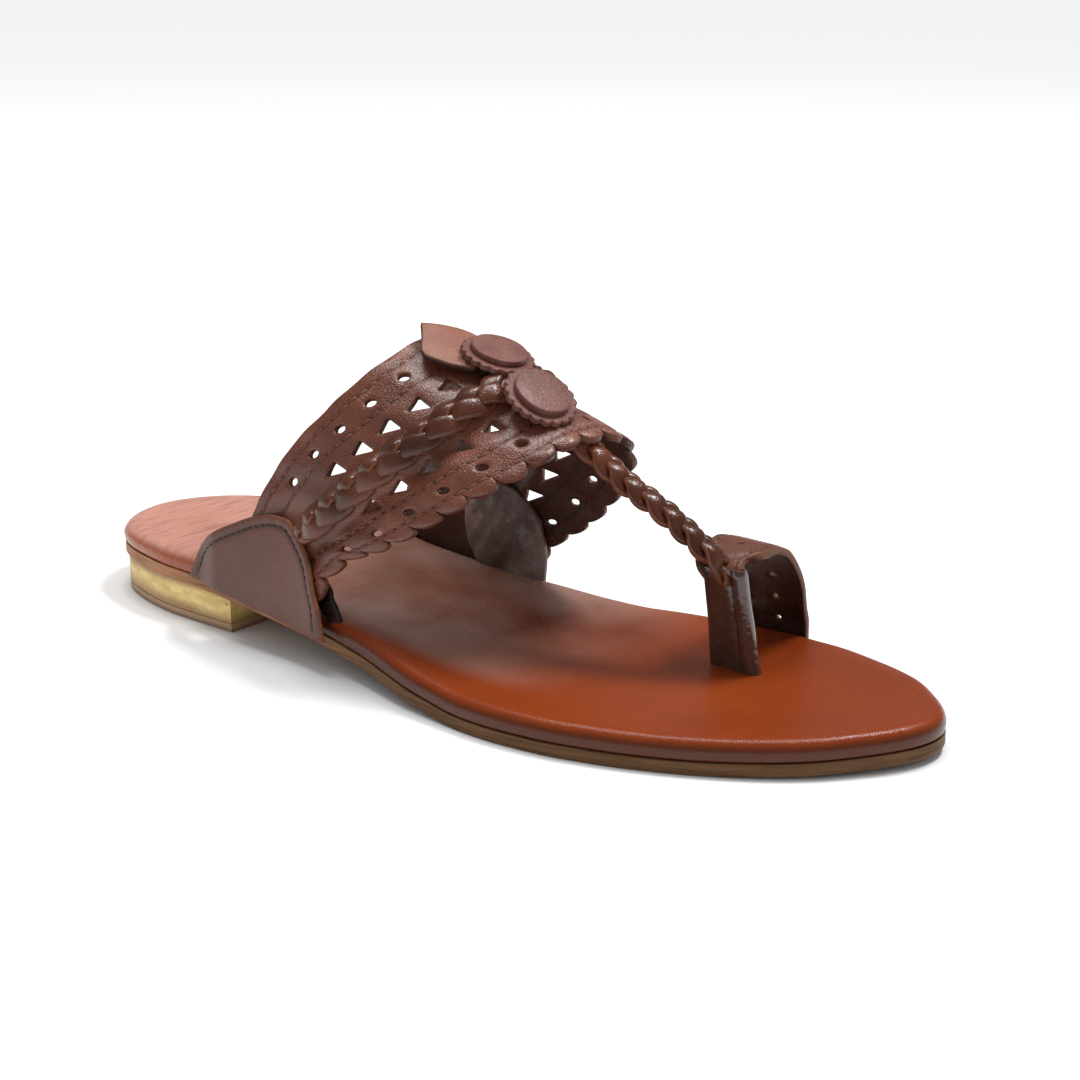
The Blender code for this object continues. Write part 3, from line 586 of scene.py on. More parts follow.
def new_mesh(name, points, faces, finish, angle=60, face_raw=None, tags=None):
    """A finished object from points in the maker's own coordinates."""
    mesh = bpy.data.meshes.new(name)
    mesh.from_pydata((np.asarray(points) - CENTRE).tolist(), [], faces)
    if face_raw is not None:
        mesh.attributes.new("raw", "FLOAT", "FACE").data.foreach_set("value", np.asarray(face_raw, float))
    for tag, values in (tags or {}).items():
        mesh.attributes.new(tag, "FLOAT", "POINT").data.foreach_set("value", np.asarray(values, float))
    made = bpy.data.objects.new(name, mesh)
    bpy.context.collection.objects.link(made)
    mesh.materials.append(finish)
    select_only(made)
    bpy.ops.object.mode_set(mode="EDIT")
    bpy.ops.mesh.select_all(action="SELECT")
    bpy.ops.mesh.normals_make_consistent(inside=False)
    bpy.ops.object.mode_set(mode="OBJECT")
    bpy.ops.object.shade_smooth_by_angle(angle=math.radians(angle))
    return made


def select_only(*chosen):
    bpy.ops.object.select_all(action="DESELECT")
    for piece in chosen:
        piece.select_set(True)
    bpy.context.view_layer.objects.active = chosen[0]


def cut_leather(name, loops, fill, form, low, high, finish, edge=0.28 * MM, clear=0.5 * MM,
                seam=None, run=None, raw_above=0.6):
    """Cut a pattern, form it into a wall between the heights low and high, and round its edges."""
    loops = [np.asarray(loop, float) for loop in loops]
    fill = np.asarray(fill, float)
    guards = []
    for n, rim in enumerate(loops):
        scale = local_scale(form, rim)
        follow = np.roll(rim, -1, axis=0)
        ahead = unit((follow - np.roll(rim, 1, axis=0)) * scale)
        left = np.stack((-ahead[:, 1], ahead[:, 0]), axis=1)
        area = (rim[:, 0] * follow[:, 1] - follow[:, 0] * rim[:, 1]).sum()
        inward = left if (area > 0) == (n == 0) else -left
        guards.append(rim + inward * edge / scale)
    scale = local_scale(form, np.concatenate(loops)).mean(axis=0) / MM
    rims = np.concatenate(loops)
    fixed = np.concatenate([rims] + guards)
    fill = fill[within(loops, fill)]
    tree = KDTree(len(fixed))
    for index, (a, b) in enumerate(fixed * scale):
        tree.insert((a, b, 0), index)
    tree.balance()
    fill = np.array([spot for spot in fill if tree.find((*(spot * scale), 0))[2] > clear / MM]).reshape(-1, 2)
    points = np.concatenate((fixed, fill))
    edges, start = [], 0
    for loop in loops + loops:
        edges += [(start + i, start + (i + 1) % len(loop)) for i in range(len(loop))]
        start += len(loop)
    found, _, faces, origins, *_ = delaunay_2d_cdt([Vector(p) for p in points * scale], edges, [], 0, 0.00001)
    spots = np.array([(v.x, v.y) for v in found]) / scale
    on_rim = np.array([any(o < len(rims) for o in origin) for origin in origins], float)
    middles = np.array([spots[list(face)].mean(axis=0) for face in faces])
    faces = [tuple(face) for face, good in zip(faces, within(loops, middles)) if good]
    a, b = spots.T
    bottom = form(a, b, low(a, b) + edge * on_rim)
    top = form(a, b, high(a, b) - edge * on_rim)
    count = len(spots)
    made_faces = [tuple(i + count for i in face) for face in faces] + [face[::-1] for face in faces]
    near_rim = [raw_above if any(on_rim[i] for i in face) else 0.0 for face in faces]
    raw = near_rim + near_rim
    used = {(i, j) for face in faces for i, j in zip(face, face[1:] + face[:1])}
    for i, j in sorted(used):
        if (j, i) not in used:
            made_faces.append((j + count, i + count, i, j))
            raw.append(1.0)
    keep = sorted({i for face in made_faces for i in face})
    index = {old: new for new, old in enumerate(keep)}
    both = np.concatenate((bottom.T, top.T))[keep]
    tags = {"seam": np.tile(seam(a, b), 2)[keep], "run": np.tile(run(a, b), 2)[keep]} if seam else None
    made = new_mesh(name, both, [tuple(index[i] for i in face) for face in made_faces], finish,
                    face_raw=raw, tags=tags)
    print(name, len(made.data.polygons), "faces")
    return made


# %% [markdown]
# ## Sewing
# A stitch is a short rounded bar of thread that dips into its two needle holes. One is modelled from
# a small sphere and then copied along each row, square to the leather.


# %% The stitch and the sewing tool
bpy.ops.object.select_all(action="DESELECT")
bpy.ops.mesh.primitive_uv_sphere_add(segments=8, ring_count=6, radius=1.0)
stitch_form = bpy.context.object
STITCH_POINTS = np.array([tuple(v.co) for v in stitch_form.data.vertices])
STITCH_FACES = [tuple(face.vertices) for face in stitch_form.data.polygons]
bpy.data.objects.remove(stitch_form)
STITCH_DIP, STITCH_WOBBLE = 0.45, 0.05
STITCH_POINTS[:, 2] -= STITCH_DIP * STITCH_POINTS[:, 0] ** 2


def sew(name, rows, thread, length=2.3 * MM, width=0.62 * MM, height=0.5 * MM):
    """Sew rows of stitches: each row is (points, outward directions), one stitch between two points."""
    points, faces = [], []
    for line, normals in rows:
        for k in range(len(line) - 1):
            start, end = line[k], line[k + 1]
            along = (end - start) / np.linalg.norm(end - start)
            up = normals[k] + normals[k + 1]
            over = np.cross(up, along)
            over /= np.linalg.norm(over)
            up = np.cross(along, over)
            wobble = STITCH_WOBBLE * math.sin(12.9898 * (k + 1) + len(points))
            placed = STITCH_POINTS * (length / 2, width / 2, height / 2)
            placed = placed[:, :1] * (along + wobble * over) + placed[:, 1:2] * over + placed[:, 2:] * up
            base = len(points) * len(STITCH_POINTS)
            points.append(placed + (start + end) / 2)
            faces += [tuple(i + base for i in face) for face in STITCH_FACES]
    made = new_mesh(name, np.concatenate(points), faces, thread)
    print(name, len(points), "stitches")
    return made


# %% [markdown]
# ## The instep band
# The band is one strap with a plain rear edge, a scalloped front edge, two rows of round holes, two
# rows of triangles and four rows of stitches. Where the braid lies on it the leather in front sinks
# into a fold, each stitch row pulls a shallow valley, and every scallop swells a little.

# %% Band pattern
BAND_THICK = 2.0 * MM
ROUND_HOLE, TRIANGLE_HOLE, TRIANGLE_LEAN = 2.8 * MM, 5.6 * MM, math.radians(24)
SCALLOP_PITCH, SCALLOP_DEPTH = 7.95 * MM, 3.3 * MM
HOLE_ROWS = (  # share across the band, first hole's distance from the middle, pitch, holes a side, triangle
    (0.15, 8.0 * MM, 10.1 * MM, 6, False),
    (0.335, 13.2 * MM, 8.9 * MM, 5, True),
    (0.67, 15.8 * MM, 9.3 * MM, 5, True),
    (0.85, 5.6 * MM, 10.8 * MM, 7, False),
)
STITCH_ROWS = ((0.070, 0.070), (0.225, 0.215), (0.790, 0.735), (0.925, 0.885))  # on top, at the base
BAND_STITCH = 3.0 * MM
BRAID_PLACE, BRAID_WIDTH, BRAID_HEIGHT, BRAID_PITCH = 0.52, 9.5 * MM, 3.4 * MM, 7.3 * MM
STRANDS_WIDTH, STRANDS_HEIGHT = 9.8 * MM, 4.3 * MM
STITCH_SPAN, STITCH_SINK, FOLD_DEPTH = 95 * MM, 0.24 * MM, 1.45 * MM


def band_hole(across, run, triangle):
    """Outline of one punched hole. Triangles lean toward the top, as the punch was held upright."""
    turn = float(turn_at(across, run))
    scale = local_scale(band_place, np.array([(turn, across)]))[0]
    if not triangle:
        angles = circle(22)
        ring = ROUND_HOLE / 2 * np.stack((np.cos(angles), np.sin(angles)), axis=1)
    else:
        def toward(angle, reach):
            return reach * np.array((math.cos(angle), math.sin(angle)))

        nick = 0.35 * MM
        radius = TRIANGLE_HOLE / math.sqrt(3) - 2 * nick
        lean = math.copysign(TRIANGLE_LEAN, run)
        ring = []
        for corner in math.pi / 2 + lean + circle(3):
            here, after = toward(corner, radius), toward(corner + 2 * math.pi / 3, radius)
            ring += [here + toward(corner + swing, nick) for swing in np.linspace(-1.0, 1.0, 4)]
            side = toward(corner + math.pi / 3, nick)
            ring += [here + (after - here) * share + side for share in np.linspace(0, 1, 8)[1:-1]]
        ring = np.array(ring)
    return np.array((turn, across)) + ring / scale


def row_across(row, turn):
    """Share across the band of a stitch row at this turn."""
    top, base = row
    return top + (base - top) * ease(np.abs(turn), 0.35, 0.85)


def band_seam(turn, across):
    """Distance to the nearest stitch row."""
    apart = [np.abs(across - row_across(row, turn)) for row in STITCH_ROWS]
    return np.min(apart, axis=0) * band_width(turn)


FRONT_START, FRONT_END = RUN_TABLE[-1, 0], RUN_TABLE[-1, -1]
LOBES = round((FRONT_END - FRONT_START) / SCALLOP_PITCH)
LOBE_PITCH = (FRONT_END - FRONT_START) / LOBES


def scallop_phase(turn):
    return (FRONT_END - run_of(turn, np.ones_like(turn))) / LOBE_PITCH


def band_dents(turn, across):
    """How far the leather rises (+) or sinks (-) from the last, in the band's own places."""
    width, run = band_width(turn), run_of(turn, across)
    side = (across - BRAID_PLACE) * width / (BRAID_WIDTH / 2)
    fade = 1 - ease(np.abs(turn), 0.80, 0.92)
    from_fold = side - 1.35
    dents = -FOLD_DEPTH * np.exp(-(from_fold / np.where(from_fold < 0, 0.5, 1.1)) ** 2) * fade
    dents += 0.30 * MM * bump_at(across, 0.67, 0.10) * fade
    dents += 0.22 * MM * np.sin(2 * math.pi * run / (27 * MM) + 4 * across) * ease(across, 0.0, 0.3)
    dents += 0.14 * MM * np.sin(2 * math.pi * run / (11 * MM) - 9 * across + 1.3)
    lobe = np.cos(2 * math.pi * scallop_phase(turn) + math.pi)
    dents += 0.20 * MM * lobe * ease(across, 0.90, 0.99) - 0.35 * MM * ease(across, 0.95, 1.0)
    dents += 0.25 * MM * (1 - ease(across, 0.0, 0.05))
    base = ease(np.abs(turn), 0.70, 0.80) * (1 - ease(np.abs(turn), 0.90, 0.98))
    return dents + 0.45 * MM * base * np.sin(2 * math.pi * across * 2.6 + 0.8)


def band_outline():
    """The rear edge, the inner end, the scalloped front edge and the outer end, as one loop."""
    rear = [(turn_at(0, run), 0.0) for run in np.arange(RUN_TABLE[0, 0], RUN_TABLE[0, -1], 1.0 * MM)]
    rear.append((1.0, 0.0))
    medial_end = [(1.0, across) for across in np.linspace(0, 1, 34)[1:-1]]
    lateral_end = [(-1.0, across) for across in np.linspace(1, 0, 34)[1:-1]]
    front = []
    for lobe in range(LOBES):
        for angle in math.pi * np.arange(13) / 13:
            turn = turn_at(1, FRONT_END - LOBE_PITCH * (lobe + (1 - math.cos(angle)) / 2))
            front.append((turn, 1 - SCALLOP_DEPTH / band_width(turn) * (1 - math.sin(angle) ** 0.9)))
    front.append((-1.0, 1 - SCALLOP_DEPTH / band_width(-1.0)))
    return rear + medial_end + front + lateral_end


band_holes = [band_hole(across, side * (first + k * pitch), triangle)
              for across, first, pitch, count, triangle in HOLE_ROWS
              for side in (-1, 1) for k in range(count)]
fill = []
BAND_ENDS = RUN_TABLE[10, 0], RUN_TABLE[10, -1]
for n, across in enumerate(np.linspace(0.012, 0.985, 44)):
    run = np.arange(*BAND_ENDS, 1.15 * MM) + (0.57 * MM if n % 2 else 0)
    fill += [(t, across) for t in turn_at(0.5, run)]
fill = np.array(fill)
fill = fill[band_seam(*fill.T) > 1.15 * MM]
lines = []
turns = turn_at(0.5, np.arange(*BAND_ENDS, 0.9 * MM))
for row in STITCH_ROWS:
    for apart in (-0.8 * MM, 0.0, 0.8 * MM):
        lines += list(zip(turns, row_across(row, turns) + apart / band_width(turns)))


def band_top(turn, across):
    """Height of the band's outer face: each stitch row sinks into it."""
    return band_dents(turn, across) + BAND_THICK - STITCH_SINK * bump_at(band_seam(turn, across), 0, 0.6 * MM)


fill = np.concatenate((fill, np.array(lines)))
band = cut_leather("instep_band", [band_outline()] + band_holes, fill, band_place, band_dents, band_top,
                   BAND_LEATHER, seam=band_seam, run=run_of)

# %% Band stitches
rows = []
for row in STITCH_ROWS:
    places = np.arange(math.ceil(-STITCH_SPAN / BAND_STITCH), STITCH_SPAN / BAND_STITCH) + 0.5
    turns = turn_at(row[0], places * BAND_STITCH)
    turns = turns[np.abs(turns) < 0.93]
    for _ in range(3):
        wanted = np.round(run_of(turns, row_across(row, turns)) / BAND_STITCH - 0.5) + 0.5
        turns = turns + (wanted * BAND_STITCH - run_of(turns, row_across(row, turns))) / STITCH_SPAN
    turns = turns[np.concatenate(([True], np.diff(turns) > 0.004))]
    across = row_across(row, turns)
    here, normals = band_normal(turns, across)
    line = here + normals * (band_dents(turns, across) + BAND_THICK - 0.20 * MM)
    rows.append((line.T, normals.T))
band_stitches = sew("band_stitches", rows, RUST_THREAD, length=2.6 * MM, width=0.85 * MM, height=0.62 * MM)

# %% [markdown]
# ## Braids
# A flat braid has three straps that swing from side to side a third of a turn apart and rise as they
# cross. Curves with a bevel could follow the same path, but the straps of a leather braid are flat and
# show their raw cut edges, so each strap gets its own flat section that tilts as it turns.


# %% The braiding tool
STRAND = 0.54  # one strap's width as a share of the braid's
TILT = 0.55  # how far a strap leans as it swings out
CUT_SIDES = (0, 13, 6, 7)  # faces of the strap's section that are its cut edges


def braid(name, line, overs, normals, width, height, pitch, swell, thick=0.52):
    """Braid three straps along a line. swell scales the section, thick is one strap's share of the height."""
    run = run_along(line)
    points, faces, raw = [], [], []
    angles = circle(14)
    wide, deep = squarish(np.cos(angles), 0.75), squarish(np.sin(angles), 0.85)
    for k in range(3):
        phase = 2 * math.pi * (run / pitch / 3 + k / 3)
        side = (1 - STRAND * 0.86) * width / 2 * np.sin(phase) * swell
        rise = (height / 2 + (1 - thick) * height / 2 * np.sin(2 * phase)) * swell
        middle = line + overs * side[:, None] + normals * rise[:, None]
        ahead = unit(np.gradient(middle, axis=0))
        up = square_to(normals, ahead) + overs * (TILT * np.sin(phase))[:, None]
        up = unit(square_to(up, ahead))
        over = np.cross(up, ahead)
        base = len(points) * len(angles)
        for n in range(len(line)):
            w, h = STRAND * width / 2 * swell[n], thick * height / 2 * swell[n]
            points.append(middle[n] + np.outer(wide * w, over[n]) + np.outer(deep * h, up[n]))
        for n in range(len(line) - 1):
            for a in range(len(angles)):
                b = (a + 1) % len(angles)
                first = base + n * len(angles)
                faces.append((first + a, first + b, first + len(angles) + b, first + len(angles) + a))
                raw.append(0.8 if a in CUT_SIDES else 0.0)
        last = base + (len(line) - 1) * len(angles)
        faces.append(tuple(range(base, base + len(angles)))[::-1])
        faces.append(tuple(range(last, last + len(angles))))
        raw += [1.0, 1.0]
    made = new_mesh(name, np.concatenate(points), faces, BRAID_LEATHER, face_raw=raw)
    print(name, round(run[-1] / MM), "mm long,", len(faces), "faces")
    return made


# %% [markdown]
# ## The braid on the band
# It runs along the band just behind the fold and slides under both wings, where it flattens.

# %% Band braid
BRAID_STOP = 0.835
start, end = (np.interp(turn, RUN_TURNS, runs_at(BRAID_PLACE)) for turn in (-BRAID_STOP, BRAID_STOP))
turns = turn_at(BRAID_PLACE, np.arange(start, end, 0.55 * MM))
here, normals = band_normal(turns, BRAID_PLACE)
swell = 1 - 0.55 * ease(np.abs(turns), 0.755, 0.82)
line = (here + normals * (BAND_THICK - 0.25 * MM - 0.5 * MM * ease(np.abs(turns), 0.76, 0.82))).T
overs = (band_place(turns, BRAID_PLACE + 0.04) - band_place(turns, BRAID_PLACE - 0.04)).T
overs = unit(square_to(overs, normals.T))
band_braid = braid("band_braid", line, overs, normals.T, STRANDS_WIDTH, STRANDS_HEIGHT, BRAID_PITCH, swell)

# %% [markdown]
# ## The toe loop, its sleeve and the toe braid
# The toe loop is a strap that rises from the sole's inner edge, arches over the big toe and dips into
# a dark folded sleeve between the toes. The toe braid comes down from the band into the same sleeve.

# %% Path of the toe loop
LOOP_HEIGHT, LOOP_WIDTH, LOOP_THICK, POST_THICK = 38 * MM, 17.5 * MM, 2.0 * MM, 3.6 * MM
LOOP_PATH = (  # shares of the length, the ball width and the loop's height, then its turn into the post
    (0.747, 0.480, 0.28, 0.0), (0.749, 0.470, 0.43, 0.0), (0.751, 0.442, 0.60, 0.0),
    (0.753, 0.390, 0.78, 0.0), (0.755, 0.322, 0.92, 0.0), (0.757, 0.245, 0.97, 0.0),
    (0.760, 0.170, 0.97, 0.1), (0.766, 0.115, 0.93, 0.3), (0.774, 0.095, 0.85, 0.6),
    (0.779, 0.097, 0.72, 0.8), (0.781, 0.108, 0.55, 0.9), (0.783, 0.120, 0.38, 1.0),
)
LOOP_NECK, LOOP_SHIFT = 10.6 * MM, 1.4 * MM  # the strap's width in the sleeve, and its shift back there
LOOP_HOLE, LOOP_HOLE_START, LOOP_HOLE_PITCH, LOOP_HOLES = 1.7 * MM, 8.0 * MM, 7.6 * MM, 6
LOOP_SEAM, LOOP_STITCH = 0.76, 2.6 * MM  # the stitch rows' share of the half width, and their pitch
foot_x = LOOP_PATH[0][0] * LENGTH
foot_y = half_width(foot_x + np.linspace(-0.5, 0.5, 9) * LOOP_WIDTH, 1).max() + GAP + LOOP_THICK / 2
knots = [(foot_x, foot_y, OUTSOLE_THICK + GAP, 0.0)]
for n, (x, y, z, into) in enumerate(LOOP_PATH):
    knots.append((x * LENGTH, foot_y if n == 0 else y * BALL_WIDTH, z * LOOP_HEIGHT, into))


def spline(points, count):
    """Evenly spread points on a smooth curve through the given ones, their directions and distances."""
    points = np.asarray(points, float)
    at = run_along(points[:, :3])
    runs = np.linspace(0, at[-1], count)
    curve = np.array([smooth(at, values, runs) for values in points.T]).T
    return curve, unit(np.gradient(curve[:, :3], axis=0)), runs


loop_line, loop_ahead, loop_runs = spline(knots, 160)
loop_over = unit(np.array((1.0, 0, 0)) - loop_ahead * loop_ahead[:, :1])
loop_out = np.cross(loop_ahead, loop_over)
LOOP_LENGTH = loop_runs[np.argmin(np.abs(loop_line[:, 3] - 0.62))]


def loop_place(run, side, off=0.0):
    """Point of the loop strap: side is -1 at its rear edge and +1 at its front edge."""
    run, side = np.asarray(run, float), np.asarray(side, float)

    def at(values):
        return np.array([np.interp(run, loop_runs, part) for part in values.T])

    spot = at(loop_line)
    half = (LOOP_WIDTH + (LOOP_NECK - LOOP_WIDTH) * ease(spot[3], 0.02, 0.55)) / 2
    spot[0] -= LOOP_SHIFT * ease(spot[3], 0.0, 0.5)
    return spot[:3] + at(loop_over) * (side * half) + at(loop_out) * off


def loop_seam(run, side):
    return np.abs(np.abs(side) - LOOP_SEAM) * LOOP_WIDTH / 2


def loop_dents(run, side):
    """The strap's edges curl in a little and it creases where it bends into the sleeve."""
    curl = -0.45 * MM * np.abs(side) ** 4
    bend = loop_runs[np.argmin(np.abs(loop_line[:, 3] - 0.3))]
    crease = -0.5 * MM * bump_at(run, bend, 1.6 * MM) + 0.3 * MM * bump_at(run, bend - 3.5 * MM, 1.5 * MM)
    return curl + crease * (0.6 + 0.4 * side) + 0.12 * MM * np.sin(run / (4.1 * MM) + 2 * side)


# %% Toe loop strap
sides = np.linspace(-1, 1, 18)
lengths = np.arange(0, LOOP_LENGTH, 1.0 * MM)
outline = ([(run, -1.0) for run in lengths] + [(LOOP_LENGTH, side) for side in sides[:-1]]
           + [(run, 1.0) for run in lengths[::-1]] + [(0.0, side) for side in sides[::-1][1:-1]])
loop_holes = [[(LOOP_HOLE_START + k * LOOP_HOLE_PITCH + LOOP_HOLE / 2 * math.cos(a),
                LOOP_HOLE / LOOP_WIDTH * math.sin(a)) for a in circle(12)] for k in range(LOOP_HOLES)]
fill = [(run + (0.5 * MM if n % 2 else 0), side) for n, side in enumerate(np.linspace(-0.95, 0.95, 18))
        for run in np.arange(0.5 * MM, LOOP_LENGTH, 1.0 * MM)]
fill = np.array([spot for spot in fill if loop_seam(*spot) > 0.9 * MM])
rows = [(run, sign * (LOOP_SEAM + apart)) for run in np.arange(0.5 * MM, LOOP_LENGTH, 0.9 * MM)
        for sign in (-1, 1) for apart in (-0.085, 0.0, 0.085)]


def loop_top(run, side):
    sink = 0.2 * MM * bump_at(loop_seam(run, side), 0, 0.5 * MM)
    return loop_dents(run, side) + LOOP_THICK / 2 - sink


toe_loop = cut_leather(
    "toe_loop", [outline] + loop_holes, np.concatenate((fill, np.array(rows))), loop_place,
    lambda run, side: loop_dents(run, side) - LOOP_THICK / 2, loop_top, LOOP_LEATHER,
    seam=loop_seam, run=lambda run, side: run, raw_above=0.25)
rows = []
runs = np.arange(1.5, LOOP_LENGTH / LOOP_STITCH) * LOOP_STITCH
for side in (-LOOP_SEAM, LOOP_SEAM):
    sides = np.full_like(runs, side)
    top = loop_dents(runs, sides) + LOOP_THICK / 2 - 0.15 * MM
    line = loop_place(runs, sides, top).T
    rows.append((line, loop_place(runs, sides, top + MM).T - line))
loop_stitches = sew("loop_stitches", rows, RUST_THREAD, length=2.0 * MM)

# %% Sleeve between the toes
SLEEVE_TOP = 34.8 * MM
heights = np.linspace(SLEEVE_TOP, OUTSOLE_THICK + FOOTBED_THICK - 0.4 * MM, 30)
down = (SLEEVE_TOP - heights) / (SLEEVE_TOP - heights[-1])
sleeve_x = (0.7690 + 0.0095 * down) * LENGTH
sleeve_y = (0.0925 + 0.0335 * down) * BALL_WIDTH
sleeve_half = (6.1 + 1.1 * down ** 2) * MM
around = circle(72)
ring_x, ring_y = squarish(np.cos(around), 0.75), squarish(np.sin(around), 0.55)


def sleeve_ring(n, inset):
    """One ring of the sleeve: its front has a rolled fold, a groove beside it and a hollow."""
    wide, deep = sleeve_half[n] - inset, POST_THICK / 2 - inset
    folds = (0.75 * MM * bump_at(ring_x, 0.74, 0.24) - 0.95 * MM * bump_at(ring_x, 0.36, 0.075)
             - 0.35 * MM * bump_at(ring_x, -0.25, 0.35))
    sway = 0.30 * MM * math.sin(n / 5.5) + 0.18 * MM * math.sin(n / 2.3 + 1)
    extra = np.where(ring_y < 0, folds, 0) * (0.35 if inset else 1.0)
    x = sleeve_x[n] + ring_x * wide + sway * 0.4 * ring_x ** 2
    y = sleeve_y[n] + ring_y * deep - extra * np.abs(ring_y) ** 0.5 + sway * 0.5 * np.sin(3 * ring_x)
    return np.stack((x, y, heights[n] + 0.35 * MM * np.sin(2.2 * ring_x) * (1 if n == 0 else 0)), axis=1)


mouth = [sleeve_ring(n, inset) for n, inset in ((6, 1.1 * MM), (1, 1.0 * MM), (0, 0.75 * MM), (0, 0.2 * MM))]
rings = mouth + [sleeve_ring(n, 0) for n in range(1, len(heights))]
points = np.concatenate(rings)
count = len(around)
starts = np.arange(len(rings) - 1) * count
faces = [(first + a, first + (a + 1) % count, first + count + (a + 1) % count, first + count + a)
         for first in starts.tolist() for a in range(count)]
faces += [tuple(range(count))[::-1], tuple(range((len(rings) - 1) * count, len(rings) * count))]
raw = [float(r == 2) for r in range(len(rings) - 1) for a in range(count)] + [0.0, 0.0]  # the rim is cut
toe_sleeve = new_mesh("toe_sleeve", points, faces, POST_LEATHER, angle=50, face_raw=raw)
print("toe_sleeve from", round(heights[-1] / MM, 1), "to", round(SLEEVE_TOP / MM, 1), "mm")

# %% Toe braid
VAMP_SHARES = (  # shares of the length, the ball width and the vamp height
    (0.590, 0.044, 1.010), (0.625, 0.053, 0.935), (0.661, 0.064, 0.835), (0.706, 0.074, 0.738),
    (0.741, 0.086, 0.640), (0.766, 0.098, 0.555), (0.774, 0.104, 0.490),
)
TOE_BRAID_LEAN = math.radians(-18)
curve, ahead, runs = spline(np.array(VAMP_SHARES) * (LENGTH, BALL_WIDTH, VAMP_HEIGHT), 110)
overs = unit(np.cross((0, 0, 1.0), ahead))
ups = np.cross(ahead, overs)
s, c = math.sin(TOE_BRAID_LEAN), math.cos(TOE_BRAID_LEAN)
overs, ups = overs * c + ups * s, ups * c - overs * s
TOE_BRAID_WIDTH, TOE_BRAID_THICK, TOE_BRAID_PITCH = 10.2 * MM, 5.2 * MM, 6.2 * MM
swell = 1 - 0.30 * ease(runs, runs[-1] - 9 * MM, runs[-1])
toe_braid = braid("toe_braid", curve - ups * TOE_BRAID_THICK / 2, overs, ups, TOE_BRAID_WIDTH,
                  TOE_BRAID_THICK, TOE_BRAID_PITCH, swell, thick=0.5)

# %% [markdown]
# ## The wings
# A wing is a smooth side flap that covers the band's end and holds it to the sole. Its stitch row
# keeps the same distance from the curved edge all the way, so the row is found by moving the edge
# inwards in real millimetres.

# %% Wing pattern
WING_THICK, WING_RAMP_AT, WING_RAMP_RUN = 1.4 * MM, 0.212, 0.038
WING_STITCH, WING_SEAM_IN = 2.4 * MM, 2.5 * MM  # the row's pitch and its distance from the edge
WING_EDGE = (  # share of the length, then the turn down from the top
    (0.196, 1.00), (0.220, 0.92), (0.249, 0.875), (0.274, 0.845), (0.304, 0.81), (0.335, 0.785),
    (0.355, 0.78), (0.365, 0.79), (0.382, 0.815), (0.395, 0.845), (0.404, 0.895), (0.412, 0.93),
    (0.418, 1.00),
)


def wing_edge(count):
    """Points of the wing's curved edge at even real distances."""
    table = np.array(WING_EDGE) * (LENGTH, 1)
    dense = np.linspace(table[0, 0], table[-1, 0], 1500)
    turns = np.minimum(smooth(table[:, 0], table[:, 1], dense), 1)
    run = run_along(on_last(dense, turns).T)
    return rows_at(np.linspace(0, run[-1], count), run, np.stack((dense, turns), axis=1))


def wing_low(x, turn):
    """The wing lies on the last at its rear end and on the band farther on."""
    return (BAND_THICK + GAP) * ease(x / LENGTH, WING_RAMP_AT, WING_RAMP_AT + WING_RAMP_RUN)


def wing_dents(x, turn):
    """The wing hollows a little in its middle and its front edge stands proud."""
    down = (np.abs(turn) - 0.78) / 0.22
    middle = bump_at(x, 0.315 * LENGTH, 17 * MM) * np.clip(1 - down, 0, 1)
    ripple = 0.10 * MM * np.sin(x / (5.3 * MM) + 6 * down)
    front = 0.35 * MM * ease(x, 0.385 * LENGTH, 0.408 * LENGTH)
    return (-0.35 * MM * middle + ripple + front) * (1 - ease(down, 0.85, 1.0))


def wing_inside(x, turn):
    """Height of the wing's inner face off the last."""
    return wing_low(x, turn) + wing_dents(x, turn)


def nearest(line, spots):
    """Distance from each spot to the line of points, and how far along the line its nearest point is."""
    run = run_along(line)
    apart = np.linalg.norm(spots[:, None] - line[None], axis=2)
    at = apart.argmin(axis=1)
    return apart[np.arange(len(spots)), at], run[at]


